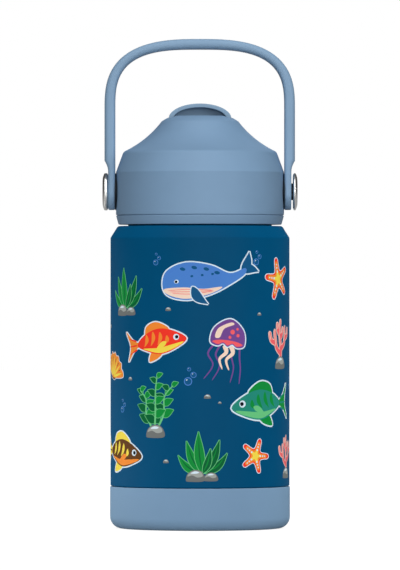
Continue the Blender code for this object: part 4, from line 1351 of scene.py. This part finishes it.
floor_form = bmesh.new()
bmesh.ops.create_circle(floor_form, cap_ends=True, radius=floor_radius, segments=96)
floor = piece_of("studio_floor", floor_form)
floor_paint, floor_tree, floor_shader = new_material("studio_floor")
floor_shader.inputs["Base Color"].default_value = (floor_tone, floor_tone, floor_tone, 1.0)
floor_shader.inputs["Roughness"].default_value = 0.9
floor_shader.inputs["Emission Color"].default_value = (1.0, 1.0, 1.0, 1.0)
ray = add_node(floor_tree, "LightPath").outputs
seen = add_node(floor_tree, "Math", {0: ray["Is Glossy Ray"], 1: floor_shine, 2: ray["Is Camera Ray"]},
                operation="MULTIPLY_ADD")
lift = add_node(floor_tree, "Math", {0: seen.outputs[0], 1: floor_lift}, operation="MULTIPLY")
floor_tree.links.new(lift.outputs[0], floor_shader.inputs["Emission Strength"])
floor.data.materials.append(floor_paint)

sky = bpy.data.worlds.new("studio_sky")
sky.use_nodes = True
bpy.context.scene.world = sky
backdrop = sky.node_tree.nodes["Background"]
backdrop.inputs["Color"].default_value = (1.0, 1.0, 1.0, 1.0)
toward = add_node(sky.node_tree, "SeparateXYZ", {0: add_node(sky.node_tree, "TexCoord").outputs["Generated"]})
sideways = add_node(sky.node_tree, "Math", {0: toward.outputs["X"]}, operation="ABSOLUTE")
cloth = cloth_light
cloth_fades = (
    (sideways.outputs[0], 0.7, 0.1),
    (toward.outputs["Y"], 0.15, -0.3),
    (toward.outputs["Z"], 0.0, 0.5),
)
for value, start, end in cloth_fades:
    fade = add_node(sky.node_tree, "MapRange", {"Value": value, "From Min": start, "From Max": end},
                    interpolation_type="SMOOTHSTEP")
    cloth = add_node(sky.node_tree, "Math", {0: fade.outputs[0], 1: cloth}, operation="MULTIPLY").outputs[0]
lit = add_node(sky.node_tree, "Math", {0: cloth, 1: side_light}, operation="ADD")
glow = add_node(sky.node_tree, "Mix", {0: add_node(sky.node_tree, "LightPath").outputs["Is Camera Ray"],
                                       2: lit.outputs[0], 3: 1.0})
sky.node_tree.links.new(glow.outputs[0], backdrop.inputs["Strength"])


def softbox(name, place, aim, width, height, power, mirrored=True):
    """Area lamp at a place, turned to a point. Shiny pieces show it if it is mirrored."""
    lamp = bpy.data.lights.new(name, "AREA")
    lamp.shape = "RECTANGLE"
    lamp.size = width
    lamp.size_y = height
    lamp.energy = power
    stand = bpy.data.objects.new(name, lamp)
    bpy.context.scene.collection.objects.link(stand)
    stand.location = place
    stand.rotation_euler = (Vector(aim) - Vector(place)).to_track_quat("-Z", "Y").to_euler()
    stand.visible_camera = False
    stand.visible_glossy = mirrored


middle = (0.0, 0.0, camera_height)
softbox("front_card", (0.0, -2.3, 0.2), middle, 0.5, 0.8, 7.9)
softbox("right_strip", (1.3, -1.4, 0.3), middle, 0.2, 1.0, 7.6)
softbox("boot_left", (-0.11, -0.03, 0.015), (0.0, 0.0, 0.015), 0.16, 0.03, 0.034)
softbox("boot_front", (0.0, -0.3, 0.03), (0.0, 0.0, 0.02), 0.4, 0.05, 0.098)
softbox("wall_left", (-0.07, 0.005, 0.075), (0.0, 0.0, 0.075), 0.05, 0.08, 0.003)
softbox("back_softbox", (0.4, 1.6, 0.8), middle, 0.9, 0.9, 20.0, mirrored=False)

camera = bpy.data.objects.new("camera", bpy.data.cameras.new("camera"))
bpy.context.scene.collection.objects.link(camera)
camera.location = (0.0, -camera_distance, camera_height)
camera.rotation_euler = (pi / 2.0, 0.0, 0.0)
camera.data.lens = camera.data.sensor_width * camera_distance / view_height
camera.data.clip_end = 20.0
bpy.context.scene.camera = camera
bpy.context.scene.view_settings.view_transform = "Standard"
